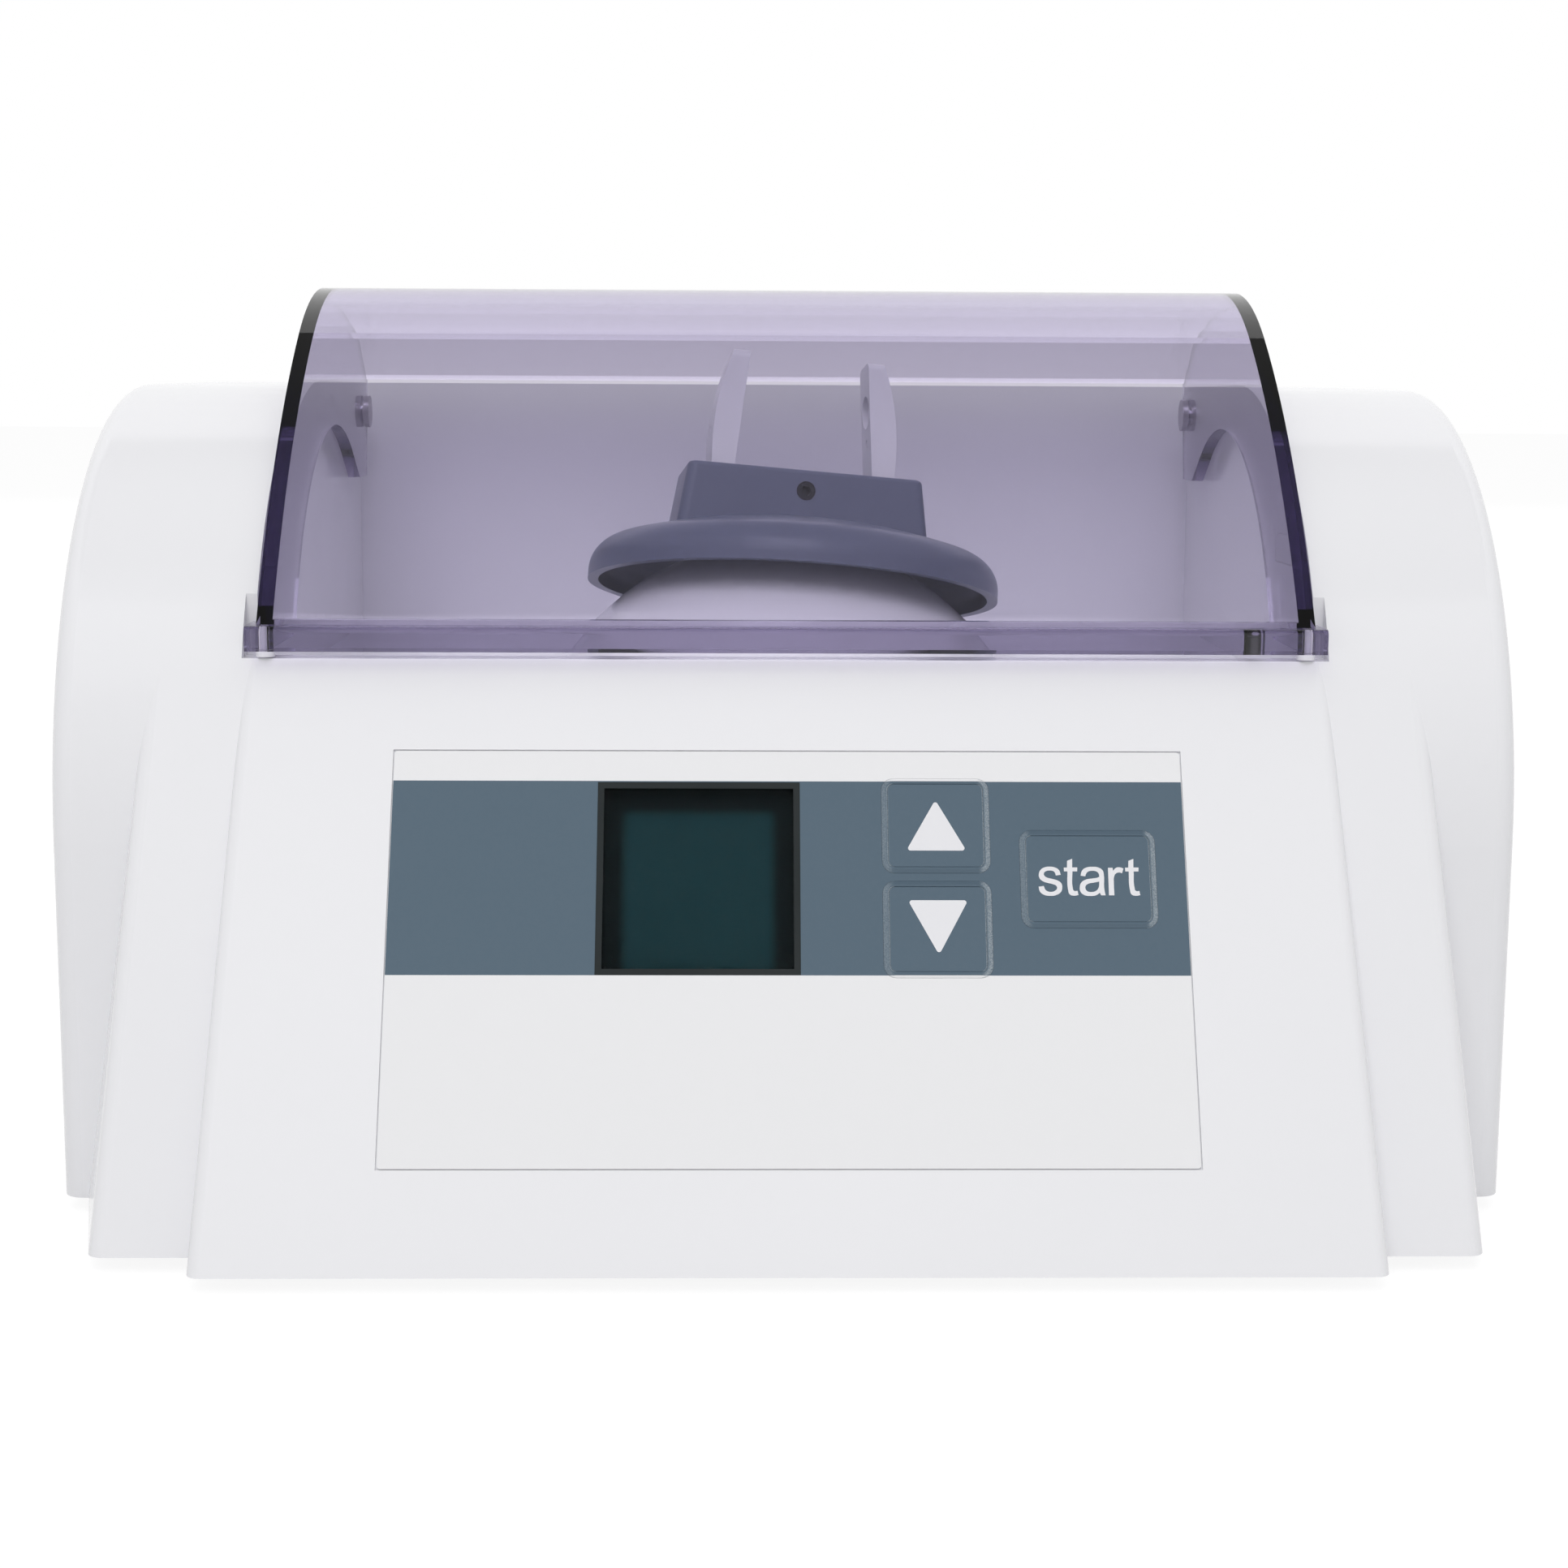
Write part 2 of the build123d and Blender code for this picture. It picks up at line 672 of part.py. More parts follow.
ribbon_u = -post_u
ribbon_place = 17.0       # above the foil's foot
ribbon_v = foil_bottom + ribbon_place
ribbon_width = 10.0
plug_width = 12.0
plug_height = 5.0
chip_u = 10.0
chip_size = 12.0
buzzer_u = 40.0
buzzer_drop = 8.0
buzzer_v = foil_v - buzzer_drop
buzzer_radius = 6.0
component_height = 3.0
with BuildPart() as control_board:
    with BuildSketch(panel.offset(-board_gap)):
        with Locations((0, foil_v)):
            RectangleRounded(board_width, board_height, board_corner)
        with Locations(*board_posts):
            Circle(screw_radius + fit, mode=Mode.SUBTRACT)
    extrude(amount=-board_thickness)
    # connector and controller on the back
    with BuildSketch(panel.offset(-board_gap - board_thickness)):
        with Locations((ribbon_u, ribbon_v)):
            Rectangle(plug_width, plug_height)
        with Locations((chip_u, foil_v)):
            Rectangle(chip_size, chip_size)
        with Locations((buzzer_u, buzzer_v)):
            Circle(buzzer_radius)
    extrude(amount=-component_height)
save(control_board.part, "control_board")

board_back = Plane(origin=panel.origin - panel.z_dir * (board_gap + board_thickness),
                   x_dir=panel.x_dir, z_dir=-panel.z_dir)
save(screws_at(board_back, [(u, -v) for u, v in board_posts], small_head_radius, small_head_height,
               small_screw_radius, board_screw_length, small_screw_drive), "board_screws")

with BuildPart() as key_switches:
    with BuildSketch(panel.offset(-board_gap)):
        with Locations(*[(u, v) for u, v, _, _ in key_sizes.values()]):
            Rectangle(switch_size, switch_size)
            Circle(plunger_radius + fit, mode=Mode.SUBTRACT)
    extrude(amount=switch_height)
save(key_switches.part, "key_switches")
plunger_collar = 3.0


def key_part(u, v, key_width, key_height):
    """An embossed key: a plate level with the foil, and a plunger into its switch."""
    with BuildPart() as key:
        with BuildSketch(panel.offset(-foil_thickness)):
            with Locations((u, v)):
                RectangleRounded(key_width, key_height, key_rounding)
        extrude(amount=foil_thickness + key_rise)
        fillet(key.faces().sort_by(panel_out)[-1].edges(), radius=key_edge)
        with BuildSketch(panel.offset(-foil_thickness)):
            with Locations((u, v)):
                Circle(2 * plunger_radius)
        extrude(amount=-plunger_collar)
        with BuildSketch(panel.offset(-foil_thickness)):
            with Locations((u, v)):
                Circle(plunger_radius)
        extrude(amount=-(board_gap - foil_thickness - key_travel - slip))
    return key.part


for key_name, key_place in key_sizes.items():
    save(key_part(*key_place), key_name)

# ================================================================ drive frame and motor
slab_rounding = 6.0
slab_depth = 2 * (mount_spread + mount_radius + pedestal_margin)
shaft_bushing_wall = 3.0
end_bushing_step = 1.0
shaft_bushing_radius = shaft_radius + shaft_bushing_wall
rib_thickness = 4.0
rib_places = (-8.0, 12.0)
rib_foot = slab_left + 2.0
guide_gap = 0.4
guide_width = 32.0
guide_depth = 22.0
guide_height = 17.0
guide_end_gap = 1.0
motor_screw_pitch = 15.0
motor_screws_yz = [(side * motor_screw_pitch, 0) for side in (-1, 1)]

with BuildPart() as drive_frame:
    with BuildSketch(Plane.XY.offset(frame_slab_z)):
        with Locations(((slab_left + slab_right) / 2, wobble_y)):
            RectangleRounded(slab_right - slab_left, slab_depth, slab_rounding)
        with Locations(*mount_points):
            Circle(bolt_radius + slip, mode=Mode.SUBTRACT)
    extrude(amount=frame_slab_thickness)
    for inner_x in (-upright_face, upright_gap):
        with BuildSketch(Plane.YZ.offset(inner_x)):
            with Locations((wobble_y, (slab_top + wobble_z) / 2)):
                Rectangle(2 * upright_half, wobble_z - slab_top)
            with Locations((wobble_y, wobble_z)):
                Circle(upright_half)
                Circle(shaft_bushing_radius + running, mode=Mode.SUBTRACT)
        extrude(amount=upright_thickness)
    with BuildSketch(Plane.YZ.offset(upright_gap)):
        with Locations(*[(wobble_y + y, wobble_z + z) for y, z in motor_screws_yz]):
            Circle(screw_radius + fit)
    extrude(amount=upright_thickness, mode=Mode.SUBTRACT)
    # buttresses outside the left upright
    for place in rib_places:
        with BuildSketch(Plane.XZ.offset(-wobble_y - place)):
            with BuildLine():
                Polyline((-upright_face, slab_top), (-upright_face, wobble_z), (rib_foot, slab_top),
                         close=True)
            make_face()
        extrude(amount=rib_thickness)
save(drive_frame.part, "drive_frame")

with BuildPart() as rubber_mounts:
    with BuildSketch(Plane.XY.offset(mount_foot)):
        with Locations(*mount_points):
            Circle(mount_radius)
            Circle(bolt_radius + running, mode=Mode.SUBTRACT)
    extrude(amount=mount_height)
save(rubber_mounts.part, "rubber_mounts")

bolt_head_radius = 4.0
bolt_head_height = 3.0
bolt_drive = 1.8
bolt_grip = 4.0           # thread in the base plate's pedestal
frame_bolt_length = frame_slab_thickness + mount_height + bolt_grip
save(screws_at(Plane.XY.offset(slab_top), mount_points, bolt_head_radius, bolt_head_height, bolt_radius,
               frame_bolt_length, bolt_drive), "frame_bolts")

with BuildPart() as guide_block:
    with BuildSketch(Plane.XY.offset(slab_top)):
        with Locations((0, wobble_y - (wobble_z - slab_top) * tan(lean))):
            Rectangle(guide_width, guide_depth)
    extrude(amount=guide_height)
    with BuildSketch(middle.offset(-tail_length - 2 * guide_end_gap)):
        tail_swing = tail_length * sin(radians(skew_angle))
        SlotOverall(2 * (tail_swing + tail_radius + guide_end_gap), 2 * (tail_radius + guide_gap))
    extrude(amount=tail_length, mode=Mode.SUBTRACT)
save(guide_block.part, "guide_block")

motor_face = upright_face
motor_back = motor_face + motor_length
can_wall = 2.0
cap_thickness = 4.0
cap_spigot = 3.0
end_bushing_radius = shaft_bushing_radius - end_bushing_step
air_gap = 1.0
magnet_thickness = 5.5
magnet_setback = 6.0
magnet_span = 32.0
magnet_split = 10.0       # gap between the two magnets
can_inner = motor_radius - can_wall
magnet_inner = can_inner - magnet_thickness
armature_radius = magnet_inner - air_gap
armature_setback = 8.0
armature_length = 28.0
armature_slots = 8
armature_slot_depth = 4.0
armature_slot_width = 2.4
commutator_radius = 7.0
commutator_length = 11.0
brush_setback = 10.0
brush_size = 4.8
brush_gap = 0.1
brush_ring_width = 10.0
brush_ring_depth = 8.0
brush_step = 0.5          # brushes inside the can
shaft_overhang = 3.0
shaft_left = -upright_face - shaft_overhang
shaft_right = motor_back + cap_thickness - over


def disc_x(x, length, outer, inner=0.0):
    """A disc or ring about the shaft's axis, from x over a length."""
    with BuildPart() as disc:
        with BuildSketch(shaft_plane.offset(x)):
            Circle(outer)
            if inner > 0:
                Circle(inner, mode=Mode.SUBTRACT)
        extrude(amount=length)
    return disc.part


with BuildPart() as motor_can:
    add(disc_x(motor_face, motor_length, motor_radius, can_inner))
    add(disc_x(motor_face, can_wall, motor_radius - can_wall / 2, shaft_bushing_radius + cap_spigot))
    with BuildSketch(shaft_plane.offset(motor_face)):
        with Locations(*motor_screws_yz):
            Circle(screw_radius + running)
    extrude(amount=can_wall, mode=Mode.SUBTRACT)
save(motor_can.part, "motor_can")

with BuildPart() as motor_end_cap:
    add(disc_x(motor_back, cap_thickness, motor_radius, end_bushing_radius + running))
    add(disc_x(motor_back - cap_spigot, cap_spigot, can_inner - running, can_inner - cap_spigot))
save(motor_end_cap.part, "motor_end_cap")

with BuildPart() as motor_magnets:
    add(disc_x(motor_face + magnet_setback, magnet_span, can_inner - press, magnet_inner))
    with BuildSketch(Plane.XY.offset(wobble_z - motor_radius)):
        with Locations((motor_face + motor_length / 2, wobble_y)):
            Rectangle(motor_length, magnet_split)
    extrude(amount=2 * motor_radius, mode=Mode.SUBTRACT)
save(motor_magnets.part, "motor_magnets")

with BuildPart() as shaft_bushings:
    add(disc_x(-upright_face, upright_thickness, shaft_bushing_radius, shaft_radius + running))
    add(disc_x(upright_gap, upright_thickness, shaft_bushing_radius, shaft_radius + running))
    add(disc_x(motor_back, cap_thickness, end_bushing_radius, shaft_radius + running))
save(shaft_bushings.part, "shaft_bushings")

brush_x = motor_back - brush_setback
holder_start = brush_x - 3.0
brush_start = brush_x - brush_size / 2 + 0.5
brush_inner = commutator_radius + slip
brush_outer = can_inner - brush_step
brush_mid = (brush_inner + brush_outer) / 2
commutator_start = brush_x - 5.0
with BuildPart() as brush_holder:
    add(disc_x(holder_start, brush_ring_width, can_inner - running, can_inner - brush_ring_depth))
    with BuildSketch(shaft_plane.offset(brush_start - brush_gap)):
        Rectangle(2 * motor_radius, brush_size + 2 * brush_gap)
    extrude(amount=brush_size + 2 * brush_gap, mode=Mode.SUBTRACT)
save(brush_holder.part, "brush_holder")

with BuildPart() as brushes:
    with BuildSketch(shaft_plane.offset(brush_start)):
        with Locations(*[(side * brush_mid, 0) for side in (-1, 1)]):
            Rectangle(brush_outer - brush_inner, brush_size)
    extrude(amount=brush_size)
save(brushes.part, "brushes")

motor_head_height = 2.2
motor_screw_drive = 1.3
motor_screw_plane = Plane(origin=shaft_plane.origin + shaft_plane.z_dir * upright_gap,
                          x_dir=(0, 1, 0), z_dir=(-1, 0, 0))
save(screws_at(motor_screw_plane, motor_screws_yz, screw_head_radius, motor_head_height, screw_radius,
               upright_thickness + can_wall, motor_screw_drive), "motor_screws")

shaft_chamfer = 0.5
with BuildPart() as motor_shaft:
    add(disc_x(shaft_left, shaft_right - shaft_left, shaft_radius))
    chamfer(motor_shaft.edges(), length=shaft_chamfer)
save(motor_shaft.part, "motor_shaft")

with BuildPart() as armature:
    add(disc_x(motor_face + armature_setback, armature_length, armature_radius, shaft_radius + press))
    with BuildSketch(shaft_plane.offset(motor_face + armature_setback)):
        with PolarLocations(armature_radius, armature_slots):
            Rectangle(2 * armature_slot_depth, armature_slot_width)
    extrude(amount=armature_length, mode=Mode.SUBTRACT)
save(armature.part, "armature")

with BuildPart() as commutator:
    add(disc_x(commutator_start, commutator_length, commutator_radius, shaft_radius + press))
save(commutator.part, "commutator")

# skewed journal that the fork runs on
journal_half = ring_width / 2 + slip
shoulder_height = 3.0
shoulder_radius = hub_radius + shoulder_height
with BuildPart() as skew_hub:
    with BuildSketch(along(arm, -journal_half - shoulder)):
        Circle(shoulder_radius)
    extrude(amount=shoulder)
    with BuildSketch(along(arm, -journal_half)):
        Circle(hub_radius)
    extrude(amount=2 * journal_half + shoulder)
    with BuildSketch(shaft_plane.offset(-upright_gap)):
        Circle(shaft_radius + press)
    extrude(amount=2 * upright_gap, mode=Mode.SUBTRACT)
save(skew_hub.part, "skew_hub")

with BuildPart() as hub_retainer:
    with BuildSketch(along(arm, journal_half)):
        Circle(shoulder_radius)
        Circle(hub_radius + press, mode=Mode.SUBTRACT)
    extrude(amount=shoulder)
save(hub_retainer.part, "hub_retainer")

weight_x = 13.0
weight_thickness = 4.0
weight_radius = 16.0
weight_hub_radius = shaft_radius + 3.0
with BuildPart() as balance_weights:
    for side in (-1, 1):
        with BuildSketch(shaft_plane.offset(side * weight_x)):
            Circle(weight_radius)
            with Locations((0, side * weight_radius)):
                Rectangle(2 * weight_radius, 2 * weight_radius, mode=Mode.SUBTRACT)
            Circle(weight_hub_radius)
            Circle(shaft_radius + press, mode=Mode.SUBTRACT)
        extrude(amount=side * weight_thickness)
save(balance_weights.part, "balance_weights")

# ================================================================ fork
ring_bore = hub_radius + bushing_wall
root_flare = 1.5
root_height = 10.0
root_taper = 8
with BuildPart() as rocker_arm:
    with BuildSketch(along(arm, -ring_width / 2)):
        Circle(ring_radius)
    extrude(amount=ring_width)
    with BuildSketch(arm.offset(ring_bore + over)):
        Circle(stem_radius + root_flare)
    extrude(amount=root_height, taper=root_taper)
    with BuildSketch(arm.offset(ring_bore + over)):
        Circle(stem_radius)
    extrude(amount=stem_top - ring_bore - over)
    with BuildSketch(arm.offset(-ring_bore - over)):
        Circle(tail_radius)
    extrude(amount=-(tail_length - ring_bore - over))
    with BuildSketch(along(arm, -ring_width / 2)):
        Circle(ring_bore + press)
    extrude(amount=ring_width, mode=Mode.SUBTRACT)
save(rocker_arm.part, "rocker_arm")

with BuildPart() as rocker_bushing:
    with BuildSketch(along(arm, -ring_width / 2)):
        Circle(ring_bore)
        Circle(hub_radius + running, mode=Mode.SUBTRACT)
    extrude(amount=ring_width)
save(rocker_bushing.part, "rocker_bushing")


def hat_profile(inset):
    """Half section of the capsule holder's cap, moved inward by inset."""
    radius = cap_crown_radius - inset
    rim = cap_rim_radius - inset
    rim_z = cap_rim_z - (press if inset > 0 else 0.0)
    edge_z = cap_crown_z - cap_crown_radius + sqrt(radius**2 - rim**2)
    with BuildSketch(across(arm, 0)) as hat:
        with BuildLine():
            spread = degrees(asin(rim / radius))
            crown = CenterArc((0, cap_crown_z - cap_crown_radius), radius, 90 - spread, spread)
            Polyline(crown @ 0, (rim, rim_z), (0, rim_z), (0, cap_crown_z - inset))
        make_face()
        corner = hat.vertices().sort_by_distance(Vector(rim, edge_z, 0))[0]
        fillet(corner, radius=cap_corner - inset)
    return hat.sketch


block_flare = (block_top - block_low) * tan(radians(block_draft))
block_mid = block_front + block_depth / 2
block_root_margin = 1.5
block_rounding = 2.0
block_edge = 1.0
spring_length = 1.4
spring_thickness = 0.9
pin_inset = 2.0           # pin behind the block's front face
lean_run = tan(radians(prong_lean))
pin_side = prong_gap / 2 + prong_thickness / 2 + (block_top - prong_pin_z) * lean_run
pocket_inner = prong_gap / 2 - slip
pocket_outer = (
    prong_gap / 2
    + prong_thickness
    + (block_top - pocket_floor) * lean_run
    + (block_top - prong_pin_z) * tan(radians(prong_angle))
    + slip
)
cap_outer = revolve(hat_profile(0), axis=arm_up)
cap_inner = revolve(hat_profile(cap_wall), axis=arm_up)

with BuildPart() as block:
    with BuildSketch(arm.offset(block_low)):
        with Locations((0, block_mid)):
            Rectangle(2 * (block_half_width + block_flare), block_depth + block_root_margin)
    with BuildSketch(arm.offset(block_top)):
        with Locations((0, block_mid)):
            Rectangle(2 * block_half_width, block_depth)
    loft()
    sides = block.edges().filter_by(lambda e: abs(e.tangent_at(0.5).dot(arm.z_dir)) > 0.9)
    fillet(sides, radius=block_rounding)
    fillet(block.faces().sort_by(arm_up)[-1].edges(), radius=block_edge)

with BuildPart() as capsule_cap:
    add(cap_outer)
    add(block.part)
    add(cap_inner, mode=Mode.SUBTRACT)
    with BuildSketch(arm.offset(cap_rim_z)):
        Circle(stem_radius + press)
    extrude(amount=stem_top + pocket_gap - cap_rim_z, mode=Mode.SUBTRACT)
    with BuildSketch(across(arm, block_front - over)):
        with Locations((0, clamp_screw_z)):
            Circle(clamp_screw_radius + press)
    extrude(amount=block_front - over, mode=Mode.SUBTRACT)
    # pockets and pin bores of the two prongs
    with BuildSketch(arm.offset(pocket_floor)):
        for side in (-1, 1):
            with Locations((side * (pocket_inner + pocket_outer) / 2, block_mid)):
                Rectangle(pocket_outer - pocket_inner, prong_depth + 2 * (spring_length + 2 * slip))
    extrude(amount=block_top, mode=Mode.SUBTRACT)
    with BuildSketch(across(arm, block_front + pin_inset)):
        with Locations(*[(side * pin_side, prong_pin_z) for side in (-1, 1)]):
            Circle(prong_pin_radius)
    extrude(amount=-block_depth, mode=Mode.SUBTRACT)
save(capsule_cap.part, "capsule_cap")

with BuildPart() as cap_screw:
    with BuildSketch(across(arm, -stem_radius)):
        with Locations((0, clamp_screw_z)):
            Circle(clamp_screw_radius)
    extrude(amount=-block_front - stem_radius)
    with BuildSketch(across(arm, block_front)):
        with Locations((0, clamp_screw_z)):
            RegularPolygon(small_screw_drive, 6)
    extrude(amount=-clamp_screw_radius, mode=Mode.SUBTRACT)
save(cap_screw.part, "cap_screw")

with BuildPart() as prong_pins:
    with BuildSketch(across(arm, block_front + pin_inset)):
        with Locations(*[(side * pin_side, prong_pin_z) for side in (-1, 1)]):
            Circle(prong_pin_radius - press)
    extrude(amount=-(block_depth - pin_inset - 0.5))
save(prong_pins.part, "prong_pins")

with BuildPart() as prong_springs:
    with BuildSketch(across(arm, block_mid - prong_depth / 2 - slip)):
        with Locations(*[(side * pin_side, prong_pin_z) for side in (-1, 1)]):
            Circle(prong_pin_radius + spring_thickness)
            Circle(prong_pin_radius + press, mode=Mode.SUBTRACT)
    extrude(amount=spring_length)
save(prong_springs.part, "prong_springs")
prong_tip = 3.4           # blade's thickness at its tip
prong_belly = 0.6
prong_shoulder = 2.0      # where the blade's back starts to curve
tip_rounding = 1.5
cup_rise = 15.0           # capsule's axis above the block
cup_radius = 3.4
cup_depth = 3.0
eyelet_rise = 8.5
eyelet_radius = 0.8


def prong_part(side):
    """One springy prong: a blade that leans inward, with a cup for the capsule's end."""
    foot_z = pocket_floor + slip
    inner_foot = prong_gap / 2 + (block_top - foot_z) * lean_run
    inner_top = prong_gap / 2 - (prong_top - block_top) * lean_run
    outer_foot = inner_foot + prong_thickness
    outer_middle = prong_gap / 2 + prong_thickness
    middle_z = block_top + 0.57 * prong_length
    shoulder_point = (side * (outer_middle + prong_belly), block_top + prong_shoulder)
    tip_point = (side * (inner_top + prong_tip), prong_top)
    with BuildPart() as prong:
        with BuildSketch(across(arm, block_mid + prong_depth / 2)):
            with BuildLine():
                Line((side * inner_top, prong_top), (side * inner_foot, foot_z))
                Line((side * inner_foot, foot_z), (side * outer_foot, foot_z))
                Line((side * outer_foot, foot_z), shoulder_point)
                ThreePointArc(shoulder_point, (side * outer_middle, middle_z), tip_point)
                Line(tip_point, (side * inner_top, prong_top))
            make_face()
        extrude(amount=prong_depth)
        tip = prong.faces().sort_by(arm_up)[-1]
        across_tip = tip.edges().filter_by(lambda e: abs(e.tangent_at(0.5).dot(arm.y_dir)) < 0.5)
        fillet(across_tip, radius=tip_rounding)
        with BuildSketch(across(arm, block_mid + prong_depth)):
            with Locations((side * pin_side, prong_pin_z)):
                Circle(prong_pin_radius + running)
        extrude(amount=2 * prong_depth, mode=Mode.SUBTRACT)
        # shallow cup for the capsule's end, and the small hole low on the blade
        with BuildSketch(along(arm, side * (prong_gap / 2 - cup_depth))):
            with Locations((block_mid, block_top + cup_rise)):
                Circle(cup_radius)
        extrude(amount=side * cup_depth, mode=Mode.SUBTRACT)
        with BuildSketch(along(arm, 0)):
            with Locations((block_mid, block_top + eyelet_rise)):
                Circle(eyelet_radius)
        extrude(amount=side * 2 * prong_gap, mode=Mode.SUBTRACT)
    return prong.part


save(prong_part(-1), "left_prong")
save(prong_part(1), "right_prong")

# ================================================================ cover
lip_mid = (lip_front + chamber_front) / 2
lip_width = chamber_front - lip_front - slip

# The sweep touches the crown and comes down on the lip: its centre is one sweep radius from the foot
# and the difference of the two radii from the crown's centre.
radius_step = sweep_radius - crown_radius
foot_run = lip_front + lip_step - crown_y
foot_rise = lip_bottom - crown_z
foot_reach = hypot(foot_run, foot_rise)
foot_corner = acos((radius_step**2 + foot_reach**2 - sweep_radius**2) / (2 * radius_step * foot_reach))
blend_angle = atan2(foot_rise, foot_run) + foot_corner - 1.5 * pi
sweep_y = crown_y + radius_step * sin(blend_angle)
sweep_z = crown_z - radius_step * cos(blend_angle)
crown_end_z = crown_z + sqrt(crown_radius**2 - (cover_rear_y - crown_y) ** 2)

# Bumpers and magnet in the lip's underside.
bumper_inset = 3.0
bumper_x = lip_half_width - bumper_inset
bumper_head = 1.75
bumper_stem = 1.0
bumper_length = 4.0
magnet_pitch = 10.0
magnet_x = bumper_x - magnet_pitch
magnet_radius = 2.0
magnet_length = 3.0
hole_gap = 0.2

# Arch of the end walls, from behind the chamber's front to the tail ahead of the hinge.
tail_setback = 4.5
arch_setback = 23.0
arch_rear_gap = 16.0
arch_mid_share = 0.253    # of the arch's length, from its front
arch_mid_drop = 14.5
arch_top_share = 0.621
arch_top_drop = 2.7
arch_rear_drop = 10.6
tail_back = cover_rear_y - tail_setback
tail_front = tail_back - tail_width
arch_front_y = chamber_front + arch_setback
arch_rear_y = hinge_y - arch_rear_gap
arch_length = arch_rear_y - arch_front_y
arch_mid_y = arch_front_y + arch_mid_share * arch_length
arch_mid_z = hinge_z - arch_mid_drop
arch_top_y = arch_front_y + arch_top_share * arch_length
arch_top_z = hinge_z - arch_top_drop
arch_rear_z = hinge_z - arch_rear_drop


def cover_form(inset, foot_z, half_width):
    """The cover's side profile moved inward by inset, cut off level at foot_z, drawn across its width."""
    start_turn = 90 + degrees(blend_angle)
    foot_turn = 180 - degrees(asin((foot_z - sweep_z) / (sweep_radius - inset)))
    end_turn = degrees(asin((crown_end_z - crown_z) / crown_radius))
    back = rear if inset > 0 else tail_back
    back_z = crown_z + (crown_radius - inset) * sin(radians(end_turn)) if inset > 0 else tail_z
    with BuildPart() as block:
        with BuildSketch(Plane.YZ.offset(-half_width)):
            with BuildLine():
                sweep_arc = CenterArc((sweep_y, sweep_z), sweep_radius - inset, start_turn,
                                      foot_turn - start_turn)
                crown_arc = CenterArc((crown_y, crown_z), crown_radius - inset, end_turn,
                                      start_turn - end_turn)
                Polyline(crown_arc @ 0, (back, back_z), (back, foot_z), sweep_arc @ 1)
            make_face()
        extrude(amount=2 * half_width)
    return block.part


with BuildPart() as cover:
    add(cover_form(0, lip_bottom, cover_half_width))
    add(cover_form(cover_thickness, lip_bottom - over, cover_half_width - cheek_thickness),
        mode=Mode.SUBTRACT)
    # arch cut out of both end walls
    with BuildSketch(Plane.YZ.offset(-cover_half_width)):
        with BuildLine():
            Line((arch_front_y, lip_bottom - over), (arch_front_y, lip_bottom))
            front_curve = ThreePointArc((arch_front_y, lip_bottom), (arch_mid_y, arch_mid_z),
                                        (arch_top_y, arch_top_z))
            rear_curve = TangentArc(front_curve @ 1, (arch_rear_y, arch_rear_z), tangent=front_curve % 1)
            Polyline(rear_curve @ 1, (tail_front, tail_z), (rear, tail_z), (rear, lip_bottom - over),
                     (arch_front_y, lip_bottom - over))
        make_face()
    extrude(amount=2 * cover_half_width, mode=Mode.SUBTRACT)
    # lip along the front edge
    with BuildSketch(Plane.XY.offset(lip_bottom)):
        with Locations((0, lip_front + lip_width / 2)):
            Rectangle(2 * lip_half_width, lip_width)
    extrude(amount=lip_thickness)
    front_edge = cover.edges().filter_by(Axis.X).sort_by(Axis.Y)[:2].sort_by(Axis.Z)[-1]
    fillet(front_edge, radius=lip_rounding)
    # pin holes, and the holes of the bumpers and the magnet
    with BuildSketch(Plane.YZ.offset(-cover_half_width)):
        with Locations((hinge_y, hinge_z)):
            Circle(hinge_radius + running)
    extrude(amount=2 * cover_half_width, mode=Mode.SUBTRACT)
    with BuildSketch(Plane.XY.offset(lip_bottom)):
        with Locations((-bumper_x, lip_mid), (bumper_x, lip_mid)):
            Circle(bumper_stem + press)
    extrude(amount=bumper_length + hole_gap, mode=Mode.SUBTRACT)
    with BuildSketch(Plane.XY.offset(lip_bottom)):
        with Locations((magnet_x, lip_mid)):
            Circle(magnet_radius + press)
    extrude(amount=magnet_length + hole_gap, mode=Mode.SUBTRACT)
save(cover.part, "cover")

with BuildPart() as cover_bumpers:
    with BuildSketch(Plane.XY.offset(ledge_z + slip)):
        with Locations((-bumper_x, lip_mid), (bumper_x, lip_mid)):
            Circle(bumper_head)
    extrude(amount=lip_bottom - ledge_z - slip)
    with BuildSketch(Plane.XY.offset(lip_bottom)):
        with Locations((-bumper_x, lip_mid), (bumper_x, lip_mid)):
            Circle(bumper_stem)
    extrude(amount=bumper_length)
save(cover_bumpers.part, "cover_bumpers")

with BuildPart() as cover_magnet:
    with BuildSketch(Plane.XY.offset(lip_bottom)):
        with Locations((magnet_x, lip_mid)):
            Circle(magnet_radius)
    extrude(amount=magnet_length)
save(cover_magnet.part, "cover_magnet")

pin_head_radius = 3.6
pin_head_thickness = 1.2
pin_reach = 5.0           # of the hinge pin into the housing
cheek_inner = cover_half_width - cheek_thickness
with BuildPart() as hinge_pins:
    for side in (-1, 1):
        with BuildSketch(Plane.YZ.offset(side * (cheek_inner - slip))):
            with Locations((hinge_y, hinge_z)):
                Circle(pin_head_radius)
        extrude(amount=-side * pin_head_thickness)
        with BuildSketch(Plane.YZ.offset(side * (cheek_inner - slip))):
            with Locations((hinge_y, hinge_z)):
                Circle(hinge_radius - press)
        extrude(amount=side * (chamber_half_width + pin_reach - cheek_inner))
save(hinge_pins.part, "hinge_pins")

